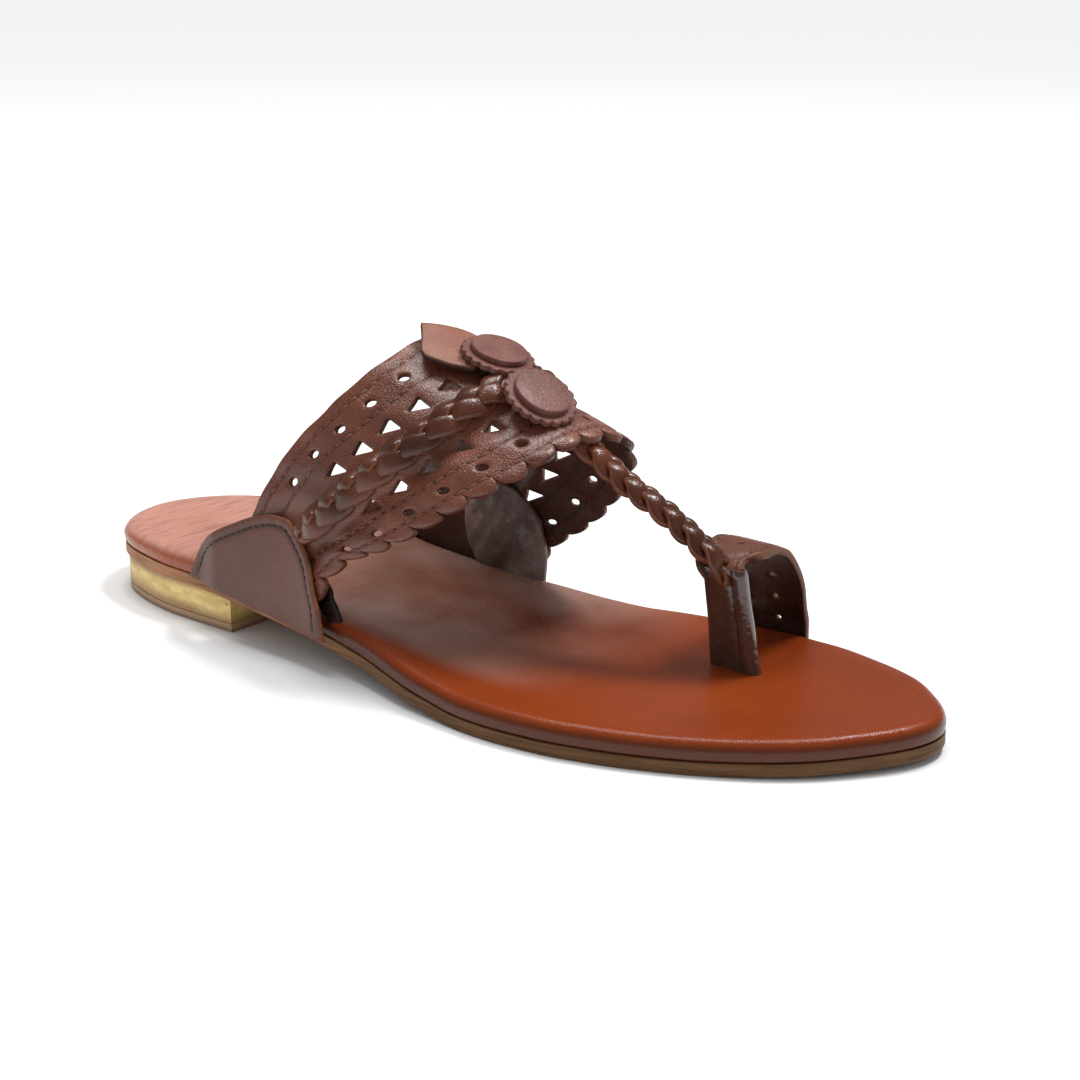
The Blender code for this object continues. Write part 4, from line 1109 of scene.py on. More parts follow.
def make_wing(name, side, lower=0.0):
    """Cut and sew one wing. lower brings its curved edge down by this much turn."""
    def place(x, turn, off=0.0):
        return on_last(x, side * turn, off)

    edge = wing_edge(110)
    edge[:, 1] += lower * np.sin(math.pi * np.linspace(0, 1, len(edge))) ** 0.5
    edge = edge[edge[:, 1] <= 1.0]
    scale = local_scale(place, edge)
    ahead = unit(np.gradient(edge, axis=0) * scale)
    inward = np.stack((-ahead[:, 1], ahead[:, 0]), axis=1)
    if inward[len(edge) // 2, 1] < 0:
        inward = -inward
    moved = edge + inward * WING_SEAM_IN / scale
    moved = moved[(moved[:, 1] < 0.985) & (moved[:, 0] > edge[0, 0]) & (moved[:, 0] < edge[-1, 0])]
    run = run_along(place(*moved.T).T)
    fine_run = np.arange(0, run[-1], 0.3 * MM)
    fine = rows_at(fine_run, run, moved)
    fine_spots = place(*fine.T).T

    def seam(x, turn):
        return nearest(fine_spots, place(x, turn).T)[0]

    def along(x, turn):
        return nearest(fine_spots, place(x, turn).T)[1]

    base = [(x, 1.0) for x in np.linspace(edge[-1, 0], edge[0, 0], 46)[1:-1]]
    fill = np.array([(x, turn) for x in np.linspace(edge[0, 0], edge[-1, 0], 50)
                     for turn in np.linspace(0.78, 0.995, 24)])
    fill = fill[seam(*fill.T) > 1.0 * MM]
    sides = [fine[::3]]
    for apart in (-0.75 * MM, 0.75 * MM):
        off = edge + inward * (WING_SEAM_IN + apart) / scale
        sides.append(off[off[:, 1] < 0.99])
    fill = np.concatenate([fill] + sides)
    made = cut_leather(
        name, [np.concatenate((edge, base))], fill, place, wing_inside,
        lambda x, turn: wing_inside(x, turn) + WING_THICK - 0.25 * MM * bump_at(seam(x, turn), 0, 0.5 * MM),
        WING_LEATHER, seam=seam, run=along, clear=0.4 * MM, raw_above=0.3)
    at = np.arange(0.5, fine_run[-1] / WING_STITCH) * WING_STITCH
    knots = rows_at(at, fine_run, fine)
    top = wing_inside(*knots.T) + WING_THICK - 0.16 * MM
    line = place(*knots.T, top).T
    normals = place(*knots.T, top + MM).T - line
    stitches = sew(name + "_stitches", [(line, normals)], DARK_THREAD, length=1.7 * MM, width=0.55 * MM)
    return made, stitches


MEDIAL_LOWER = 0.045
lateral_wing, lateral_wing_stitches = make_wing("lateral_wing", -1)
medial_wing, medial_wing_stitches = make_wing("medial_wing", 1, MEDIAL_LOWER)

# %% [markdown]
# ## Linings
# Inside the band's two ends a soft dark lining keeps the seams off the foot. It isn't glued flat, so
# it bulges and creases, which shows through the front of the band. The inner lining's lighter tone is
# partly painted sheen, and the outer one is painted near black as shade.

# %% Linings
LINING_MEDIAL = (  # share of the length, turn
    (0.420, 1.00), (0.492, 1.00), (0.4935, 0.93), (0.494, 0.86), (0.490, 0.80), (0.480, 0.76),
    (0.455, 0.735), (0.430, 0.735), (0.405, 0.750), (0.388, 0.79), (0.384, 0.85), (0.392, 0.92),
)
LINING_LATERAL = (  # share of the length, turn
    (0.275, 1.00), (0.428, 1.00), (0.430, 0.965), (0.424, 0.93), (0.412, 0.90), (0.392, 0.86),
    (0.360, 0.82), (0.330, 0.80), (0.300, 0.83), (0.280, 0.90),
)


TURN_LENGTH = 0.11  # about the real length of one turn there, in metres
LINING_GAP, LINING_THICK, LINING_CREASE = 0.3 * MM, 1.3 * MM, 1.05 * MM


def make_lining(name, side, corners, bulge, finish):
    """Cut a lining with rounded corners that bulges toward the foot by up to this much."""
    corners = np.array(corners) * (LENGTH, 1)
    closed = np.concatenate((corners, corners[:1]))
    real = np.linalg.norm(np.diff(closed, axis=0) * (1, TURN_LENGTH), axis=1)
    at = np.concatenate(([0], np.cumsum(real)))
    outline = rows_at(np.arange(0, at[-1], 1.0 * MM), at, closed)
    for _ in range(6):
        outline = sum(w * np.roll(outline, s - 2, axis=0) for s, w in enumerate((0.1, 0.2, 0.4, 0.2, 0.1)))
    outline[:, 1] = np.minimum(outline[:, 1], 1.0)
    low_x, high_x, low_t = outline[:, 0].min(), outline[:, 0].max(), outline[:, 1].min()

    def place(x, turn, off=0.0):
        return on_last(x, side * np.minimum(turn, 1.0), off)

    def puff(x, turn):
        across = np.clip((x - low_x) / (high_x - low_x), 0, 1)
        up = np.clip((1.0 - turn) / (1.0 - low_t), 0, 1)
        full = np.sin(math.pi * across) ** 0.7 * np.sin(math.pi * np.clip(0.12 + 0.88 * up, 0, 1)) ** 0.8
        crease = (0.5 * np.sin(up * 19 + 3.0 * np.sin(across * 5.1)) * (1 - ease(up, 0.15, 0.6))
                  + 0.35 * np.sin(across * 17 + up * 6 + 1.7 * np.sin(up * 9))
                  + 0.22 * np.sin(across * 31 - up * 23))
        return bulge * full + LINING_CREASE * crease * full ** 0.5

    fill = [(x, turn) for x in np.arange(low_x, high_x, 1.0 * MM) for turn in np.linspace(low_t, 0.997, 34)]
    return cut_leather(name, [outline], fill, place,
                       lambda x, turn: -puff(x, turn) - LINING_GAP - LINING_THICK,
                       lambda x, turn: -puff(x, turn) - LINING_GAP, finish, clear=0.45 * MM)


medial_lining = make_lining("medial_lining", 1, LINING_MEDIAL, 3.0 * MM, LINING_LEATHER)
lateral_lining = make_lining("lateral_lining", -1, LINING_LATERAL, 1.2 * MM, SHADED_LINING)

# %% [markdown]
# ## The pointed flap
# A small pointed flap lies over the middle of the band and lifts off it at its tip. It was cut from a
# lighter hide.

# %% Flap
FLAP_LENGTH, FLAP_WIDTH, FLAP_SKEW, FLAP_TIP = 20.2 * MM, 17 * MM, 5 * MM, 0.424 * LENGTH
FLAP_THICK, FLAP_LIFT = 1.6 * MM, 1.0 * MM
FLAP_OUTLINE = (  # share of the flap's length from its tip, half width as a share of its width
    (0.00, 0.00), (0.08, 0.10), (0.20, 0.26), (0.34, 0.45), (0.45, 0.50), (0.70, 0.50), (1.00, 0.44),
)
REAR_ROSETTE, FRONT_ROSETTE = (0.504, -0.01), (0.572, -0.08)  # share of the length, turn
FRONT_ROSETTE_LEAN = 15


def flap_place(x, side, off=0.0):
    ahead = (x - FLAP_TIP) / FLAP_LENGTH
    middle = REAR_ROSETTE[1] - FLAP_SKEW * (1 - ahead) / (LAST_LATERAL * math.pi / 2)
    return on_last(x, middle + side / (LAST_LATERAL * math.pi / 2), off)


def flap_low(x, side):
    back = np.clip(1 - (x - FLAP_TIP) / (FLAP_LENGTH * 0.6), 0, 1)
    wave = 0.25 * MM * np.sin(side / (2.7 * MM) + 1) * back
    return BAND_THICK + BRAID_HEIGHT - FLAP_THICK + FLAP_LIFT * back + wave


shares = np.linspace(0, 1, 26)
halves = FLAP_WIDTH * smooth(column(FLAP_OUTLINE, 0), column(FLAP_OUTLINE, 1), shares)
near = [(FLAP_TIP + FLAP_LENGTH * s, -h) for s, h in zip(shares, halves)]
end = [(near[-1][0], y) for y in np.linspace(near[-1][1], -near[-1][1], 16)[1:-1]]
far = [(x, -y) for x, y in near[:0:-1]]
fill = [(x, y) for x in np.linspace(near[0][0], near[-1][0], 24)
        for y in np.linspace(-0.5, 0.5, 20) * FLAP_WIDTH]
flap = cut_leather("pointed_flap", [near + end + far], fill, flap_place, flap_low,
                   lambda x, side: flap_low(x, side) + FLAP_THICK, FLAP_LEATHER, clear=0.4 * MM)

# %% [markdown]
# ## Rosettes
# Each rosette is a toothed disc under a smooth cap. Both are modelled from a circle by hand: its rim
# is pinked into rounded teeth, the face is extruded, and insets with small lifts give it a rim and a
# gentle crown. Then the piece is turned square to the last and its place is applied.

# %% Rosettes
DISC_SIZE, DISC_THICK, DISC_TEETH, TOOTH_DEPTH = 19.5 * MM, 1.4 * MM, 20, 0.8 * MM
CAP_SIZE, CAP_THICK, CAP_CROWN, CAP_GAP = 14.9 * MM, 1.5 * MM, 0.25 * MM, 0.1 * MM
CORNERS_PER_TOOTH = 8


def make_disc(name, size, thick, teeth, crown, matrix):
    """A disc with teeth this deep, or with a slightly uneven plain rim if teeth is 0."""
    bpy.ops.object.select_all(action="DESELECT")
    bpy.ops.mesh.primitive_circle_add(vertices=CORNERS_PER_TOOTH * DISC_TEETH, radius=size / 2,
                                      fill_type="NGON")
    made = bpy.context.object
    made.name = made.data.name = name
    for vertex in made.data.vertices:
        angle = math.atan2(vertex.co.y, vertex.co.x)
        if teeth:
            vertex.co *= 1 - teeth * (1 - abs(math.cos(DISC_TEETH / 2 * angle)) ** 0.7) / (size / 2)
        else:
            vertex.co *= 1 + 0.004 * math.sin(5 * angle)
    bpy.ops.object.mode_set(mode="EDIT")
    bpy.ops.mesh.select_all(action="SELECT")
    for lift, shrink in ((thick * 0.12, 1.0), (thick * 0.70, 1.0), (thick * 0.18, 0.965), (0.0, 0.97),
                         (crown * 0.4, 0.88), (crown * 0.35, 0.75), (crown * 0.25, 0.75)):
        bpy.ops.mesh.extrude_region_move(TRANSFORM_OT_translate={"value": (0, 0, lift)})
        bpy.ops.transform.resize(value=(shrink, shrink, 1), center_override=(0, 0, 0))
    bpy.ops.mesh.select_all(action="SELECT")
    bpy.ops.mesh.remove_doubles(threshold=0.00001)
    bpy.ops.mesh.normals_make_consistent(inside=False)
    bpy.ops.object.mode_set(mode="OBJECT")
    made.data.materials.append(ROSETTE_LEATHER)
    upright = [abs(face.normal.z) for face in made.data.polygons]
    raw = [1.0 if up < 0.5 else 0.55 if up < 0.93 else 0.0 for up in upright]
    made.data.attributes.new("raw", "FLOAT", "FACE").data.foreach_set("value", raw)
    made.matrix_world = matrix
    bpy.ops.object.transform_apply(location=True, rotation=True, scale=True)
    bpy.ops.object.shade_smooth_by_angle(angle=math.radians(50))
    return made


def make_rosette(which, place, off, lean):
    """A disc and its cap, off the last by this much and leaning forward by this many degrees."""
    x, turn = place[0] * LENGTH, place[1]
    foot, normal = on_last(x, turn, off), last_normal(x, turn)[1]
    rotation = Vector((0, 0, 1)).rotation_difference(Vector(normal))
    rotation = Matrix.Rotation(math.radians(lean), 3, "Y").to_quaternion() @ rotation
    turned = rotation.to_matrix().to_4x4()
    up = np.array(rotation @ Vector((0, 0, 1)))
    low = Matrix.Translation(Vector(foot - CENTRE)) @ turned
    high = Matrix.Translation(Vector(foot + up * (DISC_THICK + CAP_GAP) - CENTRE)) @ turned
    disc = make_disc(f"{which}_rosette_disc", DISC_SIZE, DISC_THICK, TOOTH_DEPTH, 0.0, low)
    cap = make_disc(f"{which}_rosette_cap", CAP_SIZE, CAP_THICK, 0, CAP_CROWN, high)
    return disc, cap


on_braid = BAND_THICK + BRAID_HEIGHT + GAP
drop = DISC_SIZE / 2 * math.sin(math.radians(FRONT_ROSETTE_LEAN))
rear_disc, rear_cap = make_rosette("rear", REAR_ROSETTE, on_braid, 0)
front_disc, front_cap = make_rosette("front", FRONT_ROSETTE, on_braid + DISC_THICK + GAP - drop,
                                     FRONT_ROSETTE_LEAN)
print("rosettes with", DISC_TEETH, "teeth")

# %% [markdown]
# ## The sole
# The sole is four flat layers with one plan: a padded footbed, the outsole, the wooden heel and its
# wear layer. Each is drawn as rings around the same plan, from its lower to its upper edge, and its
# broad faces are filled with rows of quads, so that they bend along the arch as leather does.


# %% Layers from rings
def plan_ring(inset, x_end, stations):
    """Points around the sole's plan, moved in by inset(x), up to x_end, from the heel's back."""
    turns = np.linspace(0, math.acos(1 - 2 * min(x_end / LENGTH, 1)), stations)
    xs = LENGTH * (1 - np.cos(turns)) / 2
    cut_off = x_end < LENGTH

    def side_points(side):
        ys = side * half_width(xs, side)
        dx, dy = np.gradient(xs), np.gradient(ys)
        size = np.hypot(dx, dy)
        normal_x, normal_y = -side * dy / size, side * dx / size
        normal_x[0], normal_y[0] = -1, 0
        if not cut_off:
            normal_x[-1], normal_y[-1] = 1, 0
        move = inset(xs)
        moved_x = xs - normal_x * move
        if cut_off:
            moved_x = np.minimum(moved_x, x_end)
            moved_x[-1] = x_end
        return np.stack((moved_x, ys - normal_y * move), axis=1)

    return side_points(-1), side_points(1)


def sole_layer(name, rings, finish, x_end=LENGTH, stations=120, rows=30, top=None, side_shade_and_gloss=(), angle=50):
    """A layer of plan rings from bottom to top. Each ring is (inset(x), height(x)) and top adds detail."""
    points, faces, raw, loops, pairs = [], [], [], [], []
    for inset, height in rings:
        lateral, medial = plan_ring(inset, x_end, stations)
        inner = medial[1:] if x_end < LENGTH else medial[1:-1]
        around = np.concatenate((lateral, inner[::-1]))
        base = len(points)
        points += [(x, y, height(np.float64(x))) for x, y in around]
        loops.append(range(base, base + len(around)))
        low = list(range(base, base + stations))
        high = [base] + list(range(base + stations, base + len(around)))[::-1]
        if x_end >= LENGTH:
            high.append(base + stations - 1)
        pairs.append((low, high, height))
    for level, (below, above) in enumerate(zip(loops, loops[1:])):
        for i in range(len(below)):
            j = (i + 1) % len(below)
            faces.append((below[i], below[j], above[j], above[i]))
            raw.append(side_shade_and_gloss[level] if level < len(side_shade_and_gloss) else 0.0)
    for which, (low, high, height) in ((0, pairs[0]), (1, pairs[-1])):
        lines = []
        for a, b in zip(low, high):
            if a == b:
                lines.append([a] * (rows + 1))
                continue
            line = [a]
            for k in range(1, rows):
                x, y = (points[a][n] + (points[b][n] - points[a][n]) * k / rows for n in range(2))
                z = height(np.float64(x))
                if which and top:
                    z = z + top(x, y, k / rows)
                line.append(len(points))
                points.append((x, y, z))
            lines.append(line + [b])
        for first, second in zip(lines, lines[1:]):
            for k in range(rows):
                corners = tuple(dict.fromkeys((first[k], second[k], second[k + 1], first[k + 1])))
                if len(corners) > 2:
                    faces.append(corners)
                    raw.append(0.0)
    made = new_mesh(name, points, faces, finish, angle=angle, face_raw=raw)
    print(name, len(faces), "faces")
    return made


def same(value):
    """A function of x that is this value everywhere."""
    return lambda x: value + 0 * x


def above(height, extra):
    """A height function raised by extra."""
    return lambda x: height(x) + extra


# %% [markdown]
# ## Finishes of the sole
# The footbed is tan hide, burnished by hand: the forefoot and the outer rim are a saturated
# orange-brown, the waist is glossy with grey-brown patches of painted sheen, the heel is paler and
# pinkish, partly from painted sheen, with fine creases, and its side gets painted shade. The outsole
# shows its cut edge, painted darker toward the front partly as shade, and the heel is pale yellow wood
# with a few specks.

# %% Footbed finish
FOOTBED_LEATHER, tree, shader, place = start_finish("footbed leather")
axes = add(tree, "ShaderNodeSeparateXYZ", {0: place}).outputs
surface = use(tree, grain, Vector=place, Pebbles_per_metre=1500.0, Pores=0.5)
stretched = stretch(tree, place, (9.0, 1.3, 6.0), turn=0.35)
streaks = noise(tree, stretched, 62.0, 4.0, 0.58)
patch = noise(tree, place, 22.0, 3.0, 0.5)
wander = scaled(tree, patch, 0.030, axes[0])
heel_share = inverse(tree, soft_step(tree, wander, -0.080, -0.020))
ball_share = soft_step(tree, wander, -0.010, 0.050)
outer = times(tree, soft_step(tree, times(tree, axes[1], -1.0), 0.026, 0.036), inverse(tree, heel_share))
waist = times(tree, inverse(tree, soft_step(tree, wander, 0.018, 0.070)),
              inverse(tree, maths(tree, "MAXIMUM", heel_share, outer)))
ball_share = maths(tree, "MAXIMUM", ball_share, outer)
colour = blend(tree, ball_share, rgb(0.230, 0.088, 0.056), rgb(0.212, 0.034, 0.005))
# Painted sheen: grey-brown patches in the waist stand in for its glossy reflection.
waist_painted_sheen = times(tree, waist, soft_step(tree, patch, 0.30, 0.62))
colour = blend(tree, times(tree, waist_painted_sheen, 0.62), colour, rgb(0.400, 0.265, 0.225))
# Painted sheen, in part: the heel's paler, pinkish colour is partly the hide's own tone and partly stands in
# for its reflection.
colour = blend(tree, heel_share, colour, rgb(0.480, 0.228, 0.176))
dull = blend(tree, 1.0, colour, rgb(0.86, 0.80, 0.76), "MULTIPLY")
colour = blend(tree, soft_step(tree, patch, 0.34, 0.66), dull, colour)
rub = times(tree, inverse(tree, soft_step(tree, streaks, 0.32, 0.52)),
            scaled(tree, heel_share, 0.20, 0.10))
colour = blend(tree, rub, colour, rgb(0.090, 0.026, 0.014))
# Painted shade: the footbed's side is darkened toward its bottom, less at the heel; the same value adds coat
# gloss there.
turned = tag(tree, "raw")
side = blend(tree, heel_share, rgb(0.072, 0.017, 0.005), rgb(0.330, 0.066, 0.018))
colour = blend(tree, times(tree, turned, 0.92), colour, side)
creases = times(tree, streaks, scaled(tree, heel_share, 3.0, 0.6))
dress(tree, shader, colour, scaled(tree, surface["Height"], 0.35, creases), 0.08 * MM,
      scaled(tree, surface["Sheen breaks"], 0.35, 0.20), specular=0.22)
polish = times(tree, waist, soft_step(tree, streaks, 0.30, 0.80))
shine = scaled(tree, turned, 0.14, scaled(tree, polish, 0.45, 0.03), clamp=True)
tree.links.new(shine, shader.inputs["Coat Weight"])
shader.inputs["Coat Roughness"].default_value = 0.17
print("footbed finish with", len(tree.nodes), "nodes")

# %% Outsole, heel and wear layer finishes
OUTSOLE_LEATHER, tree, shader, place = start_finish("outsole leather")
layers = stretch(tree, place, (1.0, 1.0, 26.0))
fibres = noise(tree, layers, 60.0, 5.0, 0.65)
stain = noise(tree, place, 30.0, 4.0)
axes = add(tree, "ShaderNodeSeparateXYZ", {0: place}).outputs
# Painted shade, in part: the outsole's edge darkens toward the front, where it sits low under the footbed's
# rim, and stays light at the heel.
ahead = soft_step(tree, scaled(tree, stain, 0.03, axes[0]), -0.075, 0.035)
colour = blend(tree, ahead, rgb(0.480, 0.225, 0.105), rgb(0.150, 0.074, 0.028))
dull = blend(tree, 1.0, colour, rgb(0.5, 0.45, 0.4), "MULTIPLY")
colour = blend(tree, soft_step(tree, fibres, 0.30, 0.62), dull, colour)
colour = blend(tree, times(tree, soft_step(tree, stain, 0.45, 0.75), 0.4), colour, rgb(0.12, 0.05, 0.03))
pits = noise(tree, place, 900.0, 3.0)
dress(tree, shader, colour, scaled(tree, pits, 0.4, fibres), 0.15 * MM,
      scaled(tree, stain, 0.25, 0.42), specular=0.2)

HEEL_WOOD, tree, shader, place = start_finish("heel wood")
axes = add(tree, "ShaderNodeSeparateXYZ", {0: place}).outputs
boards = stretch(tree, place, (1.0, 1.0, 3.0))
rings = noise(tree, boards, 150.0, 6.0, 0.68)
specks = add(tree, "ShaderNodeTexVoronoi", {"Vector": place, "Scale": 210.0}).outputs["Distance"]
smudge = noise(tree, place, 38.0, 4.0)
colour = blend(tree, soft_step(tree, rings, 0.3, 0.7), rgb(0.62, 0.42, 0.115), rgb(0.88, 0.67, 0.25))
colour = blend(tree, times(tree, inverse(tree, soft_step(tree, specks, 0.09, 0.17)), 0.80),
               colour, rgb(0.17, 0.085, 0.03))
edges = inverse(tree, soft_step(tree, scaled(tree, smudge, -0.003, axes[2]), 0.0012, 0.0048))
crown = soft_step(tree, scaled(tree, smudge, 0.002, axes[2]), 0.0095, 0.0115)
colour = blend(tree, times(tree, maths(tree, "MAXIMUM", edges, crown), 0.8), colour, rgb(0.30, 0.155, 0.075))
dress(tree, shader, colour, maths(tree, "SUBTRACT", rings, times(tree, specks, 0.4)), 0.12 * MM,
      scaled(tree, smudge, 0.3, 0.32))

WEAR_LAYER, tree, shader, place = start_finish("wear layer rubber")
layers = stretch(tree, place, (1.0, 1.0, 14.0))
dirt = noise(tree, layers, 90.0, 5.0)
axes = add(tree, "ShaderNodeSeparateXYZ", {0: place}).outputs
dark_foot = inverse(tree, soft_step(tree, scaled(tree, dirt, -0.0010, axes[2]), -0.0002, 0.0010))
colour = blend(tree, dirt, rgb(0.34, 0.20, 0.11), rgb(0.52, 0.34, 0.19))
colour = blend(tree, times(tree, dark_foot, 0.6), colour, rgb(0.12, 0.07, 0.045))
dress(tree, shader, colour, dirt, 0.15 * MM, 0.55)

# %% Outsole, heel block and wear layer
OUTSOLE_RAISE = 0.25 * MM  # closes most of the seam under the footbed
edge = 0.5 * MM
arc = [(edge * (1 - math.sin(a)), edge * (1 - math.cos(a))) for a in np.linspace(0, math.pi / 2, 4)]
rings = [(same(inset), above(underside, rise)) for inset, rise in arc]
rings += [(same(0.10 * MM * (k % 2)), above(underside, OUTSOLE_THICK * share))
          for k, share in enumerate((0.35, 0.5, 0.62, 0.74))]
rings += [(same(inset * 0.6), above(underside, OUTSOLE_THICK + OUTSOLE_RAISE - rise * 0.6))
          for inset, rise in arc[::-1]]
outsole = sole_layer("outsole_leather", rings, OUTSOLE_LEATHER)
heel_block = sole_layer("heel_block_wood", [
    (same(HEEL_SET_IN + 0.2 * MM), same(LIFT_THICK + 0.05 * MM)),
    (same(HEEL_SET_IN), same(LIFT_THICK + 0.25 * MM)),
    (same(HEEL_SET_IN), above(underside, -GAP - 0.3 * MM)),
    (same(HEEL_SET_IN + 0.2 * MM), above(underside, -0.05 * MM)),
], HEEL_WOOD, HEEL_LENGTH, 70, 24, angle=40)
wear_layer = sole_layer("wear_layer", [
    (same(HEEL_SET_IN + 0.4 * MM), same(0)), (same(HEEL_SET_IN + 0.1 * MM), same(0.15 * MM)),
    (same(HEEL_SET_IN), same(0.4 * MM)), (same(HEEL_SET_IN), same(LIFT_THICK - 0.25 * MM)),
    (same(HEEL_SET_IN + 0.2 * MM), same(LIFT_THICK - 0.05 * MM)),
], WEAR_LAYER, HEEL_LENGTH, 70, 24, angle=40)


# %% Footbed
def heel_share_at(x):
    return np.clip(1 - x / HEEL_OVERHANG_RUN, 0, 1) ** 1.5


def footbed_ring(share_in, rise, swell):
    def inset(x):
        wide = FOOTBED_ROUND * (1 + 0.9 * heel_share_at(x))
        return wide * share_in - HEEL_OVERHANG * heel_share_at(x) * swell
    return inset, lambda x: seat(x) + FOOTBED_THICK * rise


def footbed_top(x, y, across):
    """Soft hollows of the padding, and the low ridge where the hide turns over the edge."""
    rim = 1 - min(1.0, min(across, 1 - across) * 60 * MM / (3.0 * MM)) if 0 < across < 1 else 0
    wave = 0.16 * MM * math.sin(x / (13 * MM)) * math.sin(y / (11 * MM) + x / (29 * MM))
    tread = -0.35 * MM * math.exp(-((x - 0.72 * LENGTH) / (26 * MM)) ** 2 - ((y + 6 * MM) / (20 * MM)) ** 2)
    tread -= 0.30 * MM * math.exp(-((x - 0.13 * LENGTH) / (20 * MM)) ** 2 - (y / (16 * MM)) ** 2)
    return (wave + tread) * (1 - rim)


PROFILE = (  # share of the way up the side, share inward, share of the height, share of the heel's overhang
    (0.00, 0.30, 0.02, 0.0), (0.10, 0.10, 0.07, 0.3), (0.25, 0.02, 0.20, 0.7), (0.45, 0.00, 0.45, 1.0),
    (0.60, 0.14, 0.67, 1.0), (0.72, 0.36, 0.83, 1.0), (0.82, 0.62, 0.93, 1.0), (0.91, 0.95, 0.985, 1.0),
    (1.00, 1.35, 1.0, 1.0),
)
rings = [footbed_ring(*[float(smooth(column(PROFILE, 0), column(PROFILE, n), at)) for n in (1, 2, 3)])
         for at in np.linspace(0, 1, 16)]
# Painted shade for the footbed's side, 1 at its bottom and 0 near its top, which also adds gloss.
side_shade_and_gloss_rings = [1 - float(ease(at, 0.50, 0.78)) for at in np.linspace(0, 1, 15)]
footbed = sole_layer("footbed_leather", rings, FOOTBED_LEATHER, stations=150, rows=44, top=footbed_top,
                     side_shade_and_gloss=side_shade_and_gloss_rings)

# %% [markdown]
# ## Seating everything on the measured model
# Each piece stands for the solids that it shows in more detail, and all ride on the one body.

# %% Replace the plain solids
REPLACED = {
    band: ("upper", "dark_leather"), lateral_wing: ("wing_lateral", "dark_leather"),
    medial_wing: ("wing_medial", "dark_leather"), flap: ("top_flap", "dark_leather"),
    rear_disc: ("rosette_rear_disc", "dark_leather"), rear_cap: ("rosette_rear_cap", "dark_leather"),
    front_disc: ("rosette_front_disc", "dark_leather"), front_cap: ("rosette_front_cap", "dark_leather"),
    footbed: ("footbed", "tan_leather"), outsole: ("outsole", "sole_leather"),
    heel_block: ("heel_block", "heel_wood"), wear_layer: ("top_lift", "lift_rubber"),
}
ADDED = (band_stitches, band_braid, toe_loop, loop_stitches, toe_sleeve, toe_braid, medial_lining,
         lateral_lining, lateral_wing_stitches, medial_wing_stitches)
for piece, (node, slot) in REPLACED.items():
    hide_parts(node)
    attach(piece, "root")
for piece in ADDED:
    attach(piece, "root")
print(len(REPLACED), "pieces replace solids and", len(ADDED), "are added")

# %% [markdown]
# ## Floor, light and camera
# The studio is white all round, and the paper floor fades into it. A lamp behind the toes draws a thin
# bright line on the rounded rims, and a broad one overhead lays a soft shadow under the arch. Glossy
# rays see a dimmer room, or the low view would wash the leather out.

# %% Floor
bpy.ops.object.select_all(action="DESELECT")
bpy.ops.mesh.primitive_plane_add(size=60.0, location=(0, 0, 0))
floor = bpy.context.object
floor.name = "studio_floor"
FLOOR, tree, shader, place = start_finish("studio floor")
far = add(tree, "ShaderNodeVectorMath", {0: place}, operation="LENGTH").outputs["Value"]
GLOW_START, GLOW_END, GLOW = 0.35, 1.3, 0.45  # metres from the shoe, and the far floor's own light
shine = soft_step(tree, far, GLOW_START, GLOW_END)
paper = noise(tree, place, 4.0)
tree.links.new(blend(tree, paper, rgb(0.80, 0.81, 0.82), rgb(0.82, 0.825, 0.83)), shader.inputs["Base Color"])
tree.links.new(blend(tree, shine, rgb(0, 0, 0), rgb(GLOW, GLOW, GLOW)), shader.inputs["Emission Color"])
shader.inputs["Emission Strength"].default_value = 1.0
shader.inputs["Roughness"].default_value = 0.9
shader.inputs["Specular IOR Level"].default_value = 0.1
floor.data.materials.append(FLOOR)

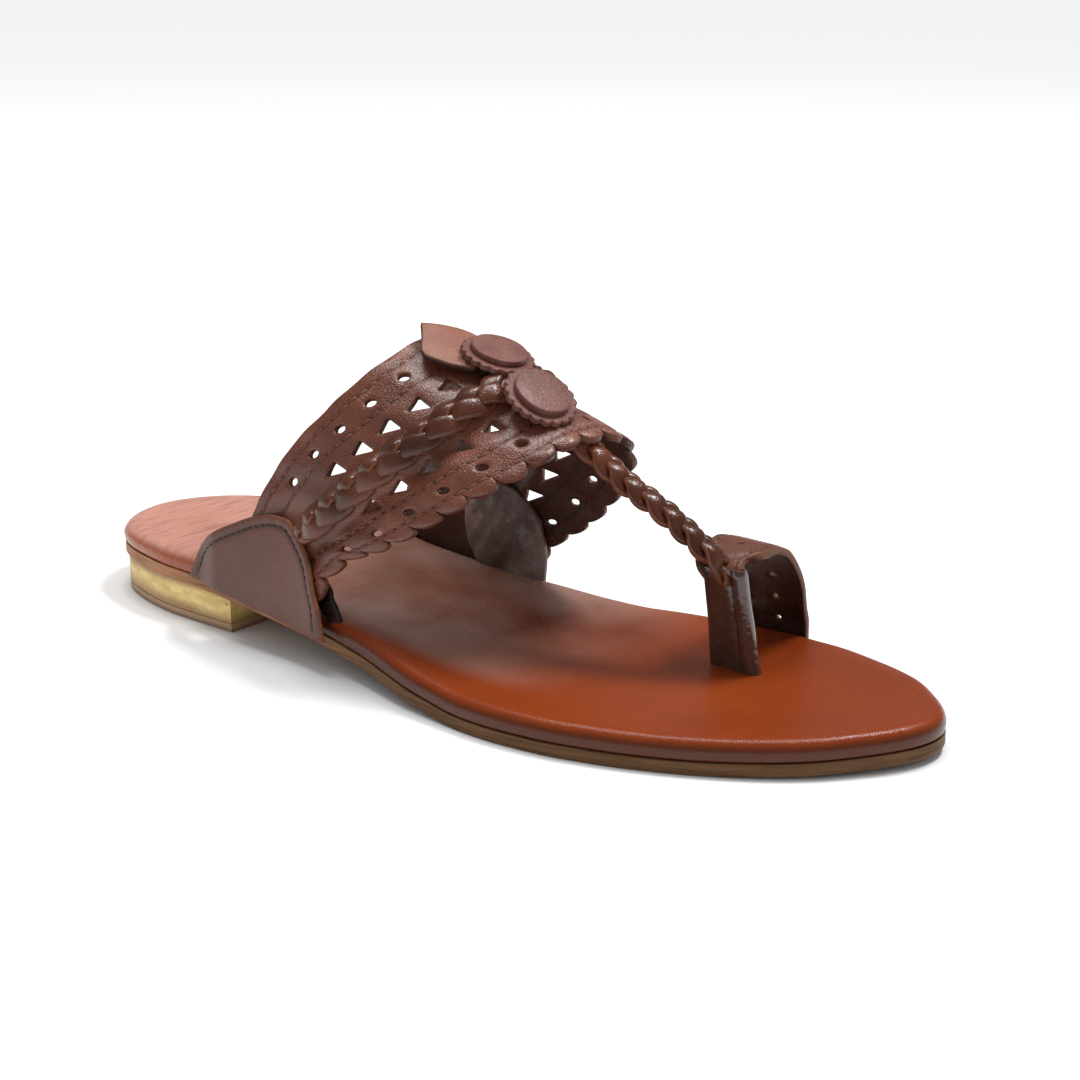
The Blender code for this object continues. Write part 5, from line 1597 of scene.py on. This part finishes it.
# %% Light
world = bpy.data.worlds.new("white studio")
bpy.context.scene.world = world
world.use_nodes = True
sky = world.node_tree
ROOM, SEEN_EXTRA, GLOSS_LOSS = 0.56, 0.44, 0.38  # the camera sees full white, glossy rays a dim room
rays = add(sky, "ShaderNodeLightPath").outputs
strength = scaled(sky, rays["Is Camera Ray"], SEEN_EXTRA, ROOM)
strength = scaled(sky, rays["Is Glossy Ray"], -GLOSS_LOSS, strength)
sky.links.new(strength, sky.nodes["Background"].inputs["Strength"])
sky.nodes["Background"].inputs["Color"].default_value = rgb(1.0, 1.0, 1.0)


def point_at(spot, aim):
    """The rotation that turns a lamp or camera at this spot toward the aim."""
    return (Vector(aim) - Vector(spot)).to_track_quat("-Z", "Y").to_euler()


def lamp(name, place, size, power):
    """A rectangular lamp that shines on the middle of the shoe."""
    bpy.ops.object.light_add(type="AREA", location=place)
    made = bpy.context.object
    made.name = name
    made.data.shape = "RECTANGLE"
    made.data.size, made.data.size_y = size
    made.data.energy = power
    made.rotation_euler = point_at(place, (0, 0, 0))


lamp("key behind the toes", (0.22, 0.44, 1.08), (0.36, 0.30), 11.0)
lamp("overhead softbox", (-0.24, 0.06, 1.16), (0.45, 0.45), 7.0)
view = bpy.context.scene.view_settings
view.view_transform, view.look, view.exposure, view.gamma = "Standard", "None", 0.0, 1.0

# %% Camera
AZIMUTH, ELEVATION, DISTANCE = math.radians(33.832), math.radians(16.356), 570.049 * MM
ORBIT_MIDDLE = np.array((135.394, 78.421, 20.0)) * MM - CENTRE
level = math.cos(ELEVATION)
back = np.array((math.sin(AZIMUTH) * level, -math.cos(AZIMUTH) * level, math.sin(ELEVATION)))
eye = ORBIT_MIDDLE + back * DISTANCE
AIM, LENS, SENSOR = (0.018, 0.0015, 0.034), 65.6, 36.0
bpy.ops.object.camera_add(location=eye, rotation=point_at(eye, AIM))
camera = bpy.context.object
camera.data.sensor_width, camera.data.sensor_fit = SENSOR, "HORIZONTAL"
camera.data.lens = LENS
camera.data.clip_start = 0.01
bpy.context.scene.camera = camera
print("camera", [round(float(v), 4) for v in eye], "lens", camera.data.lens)
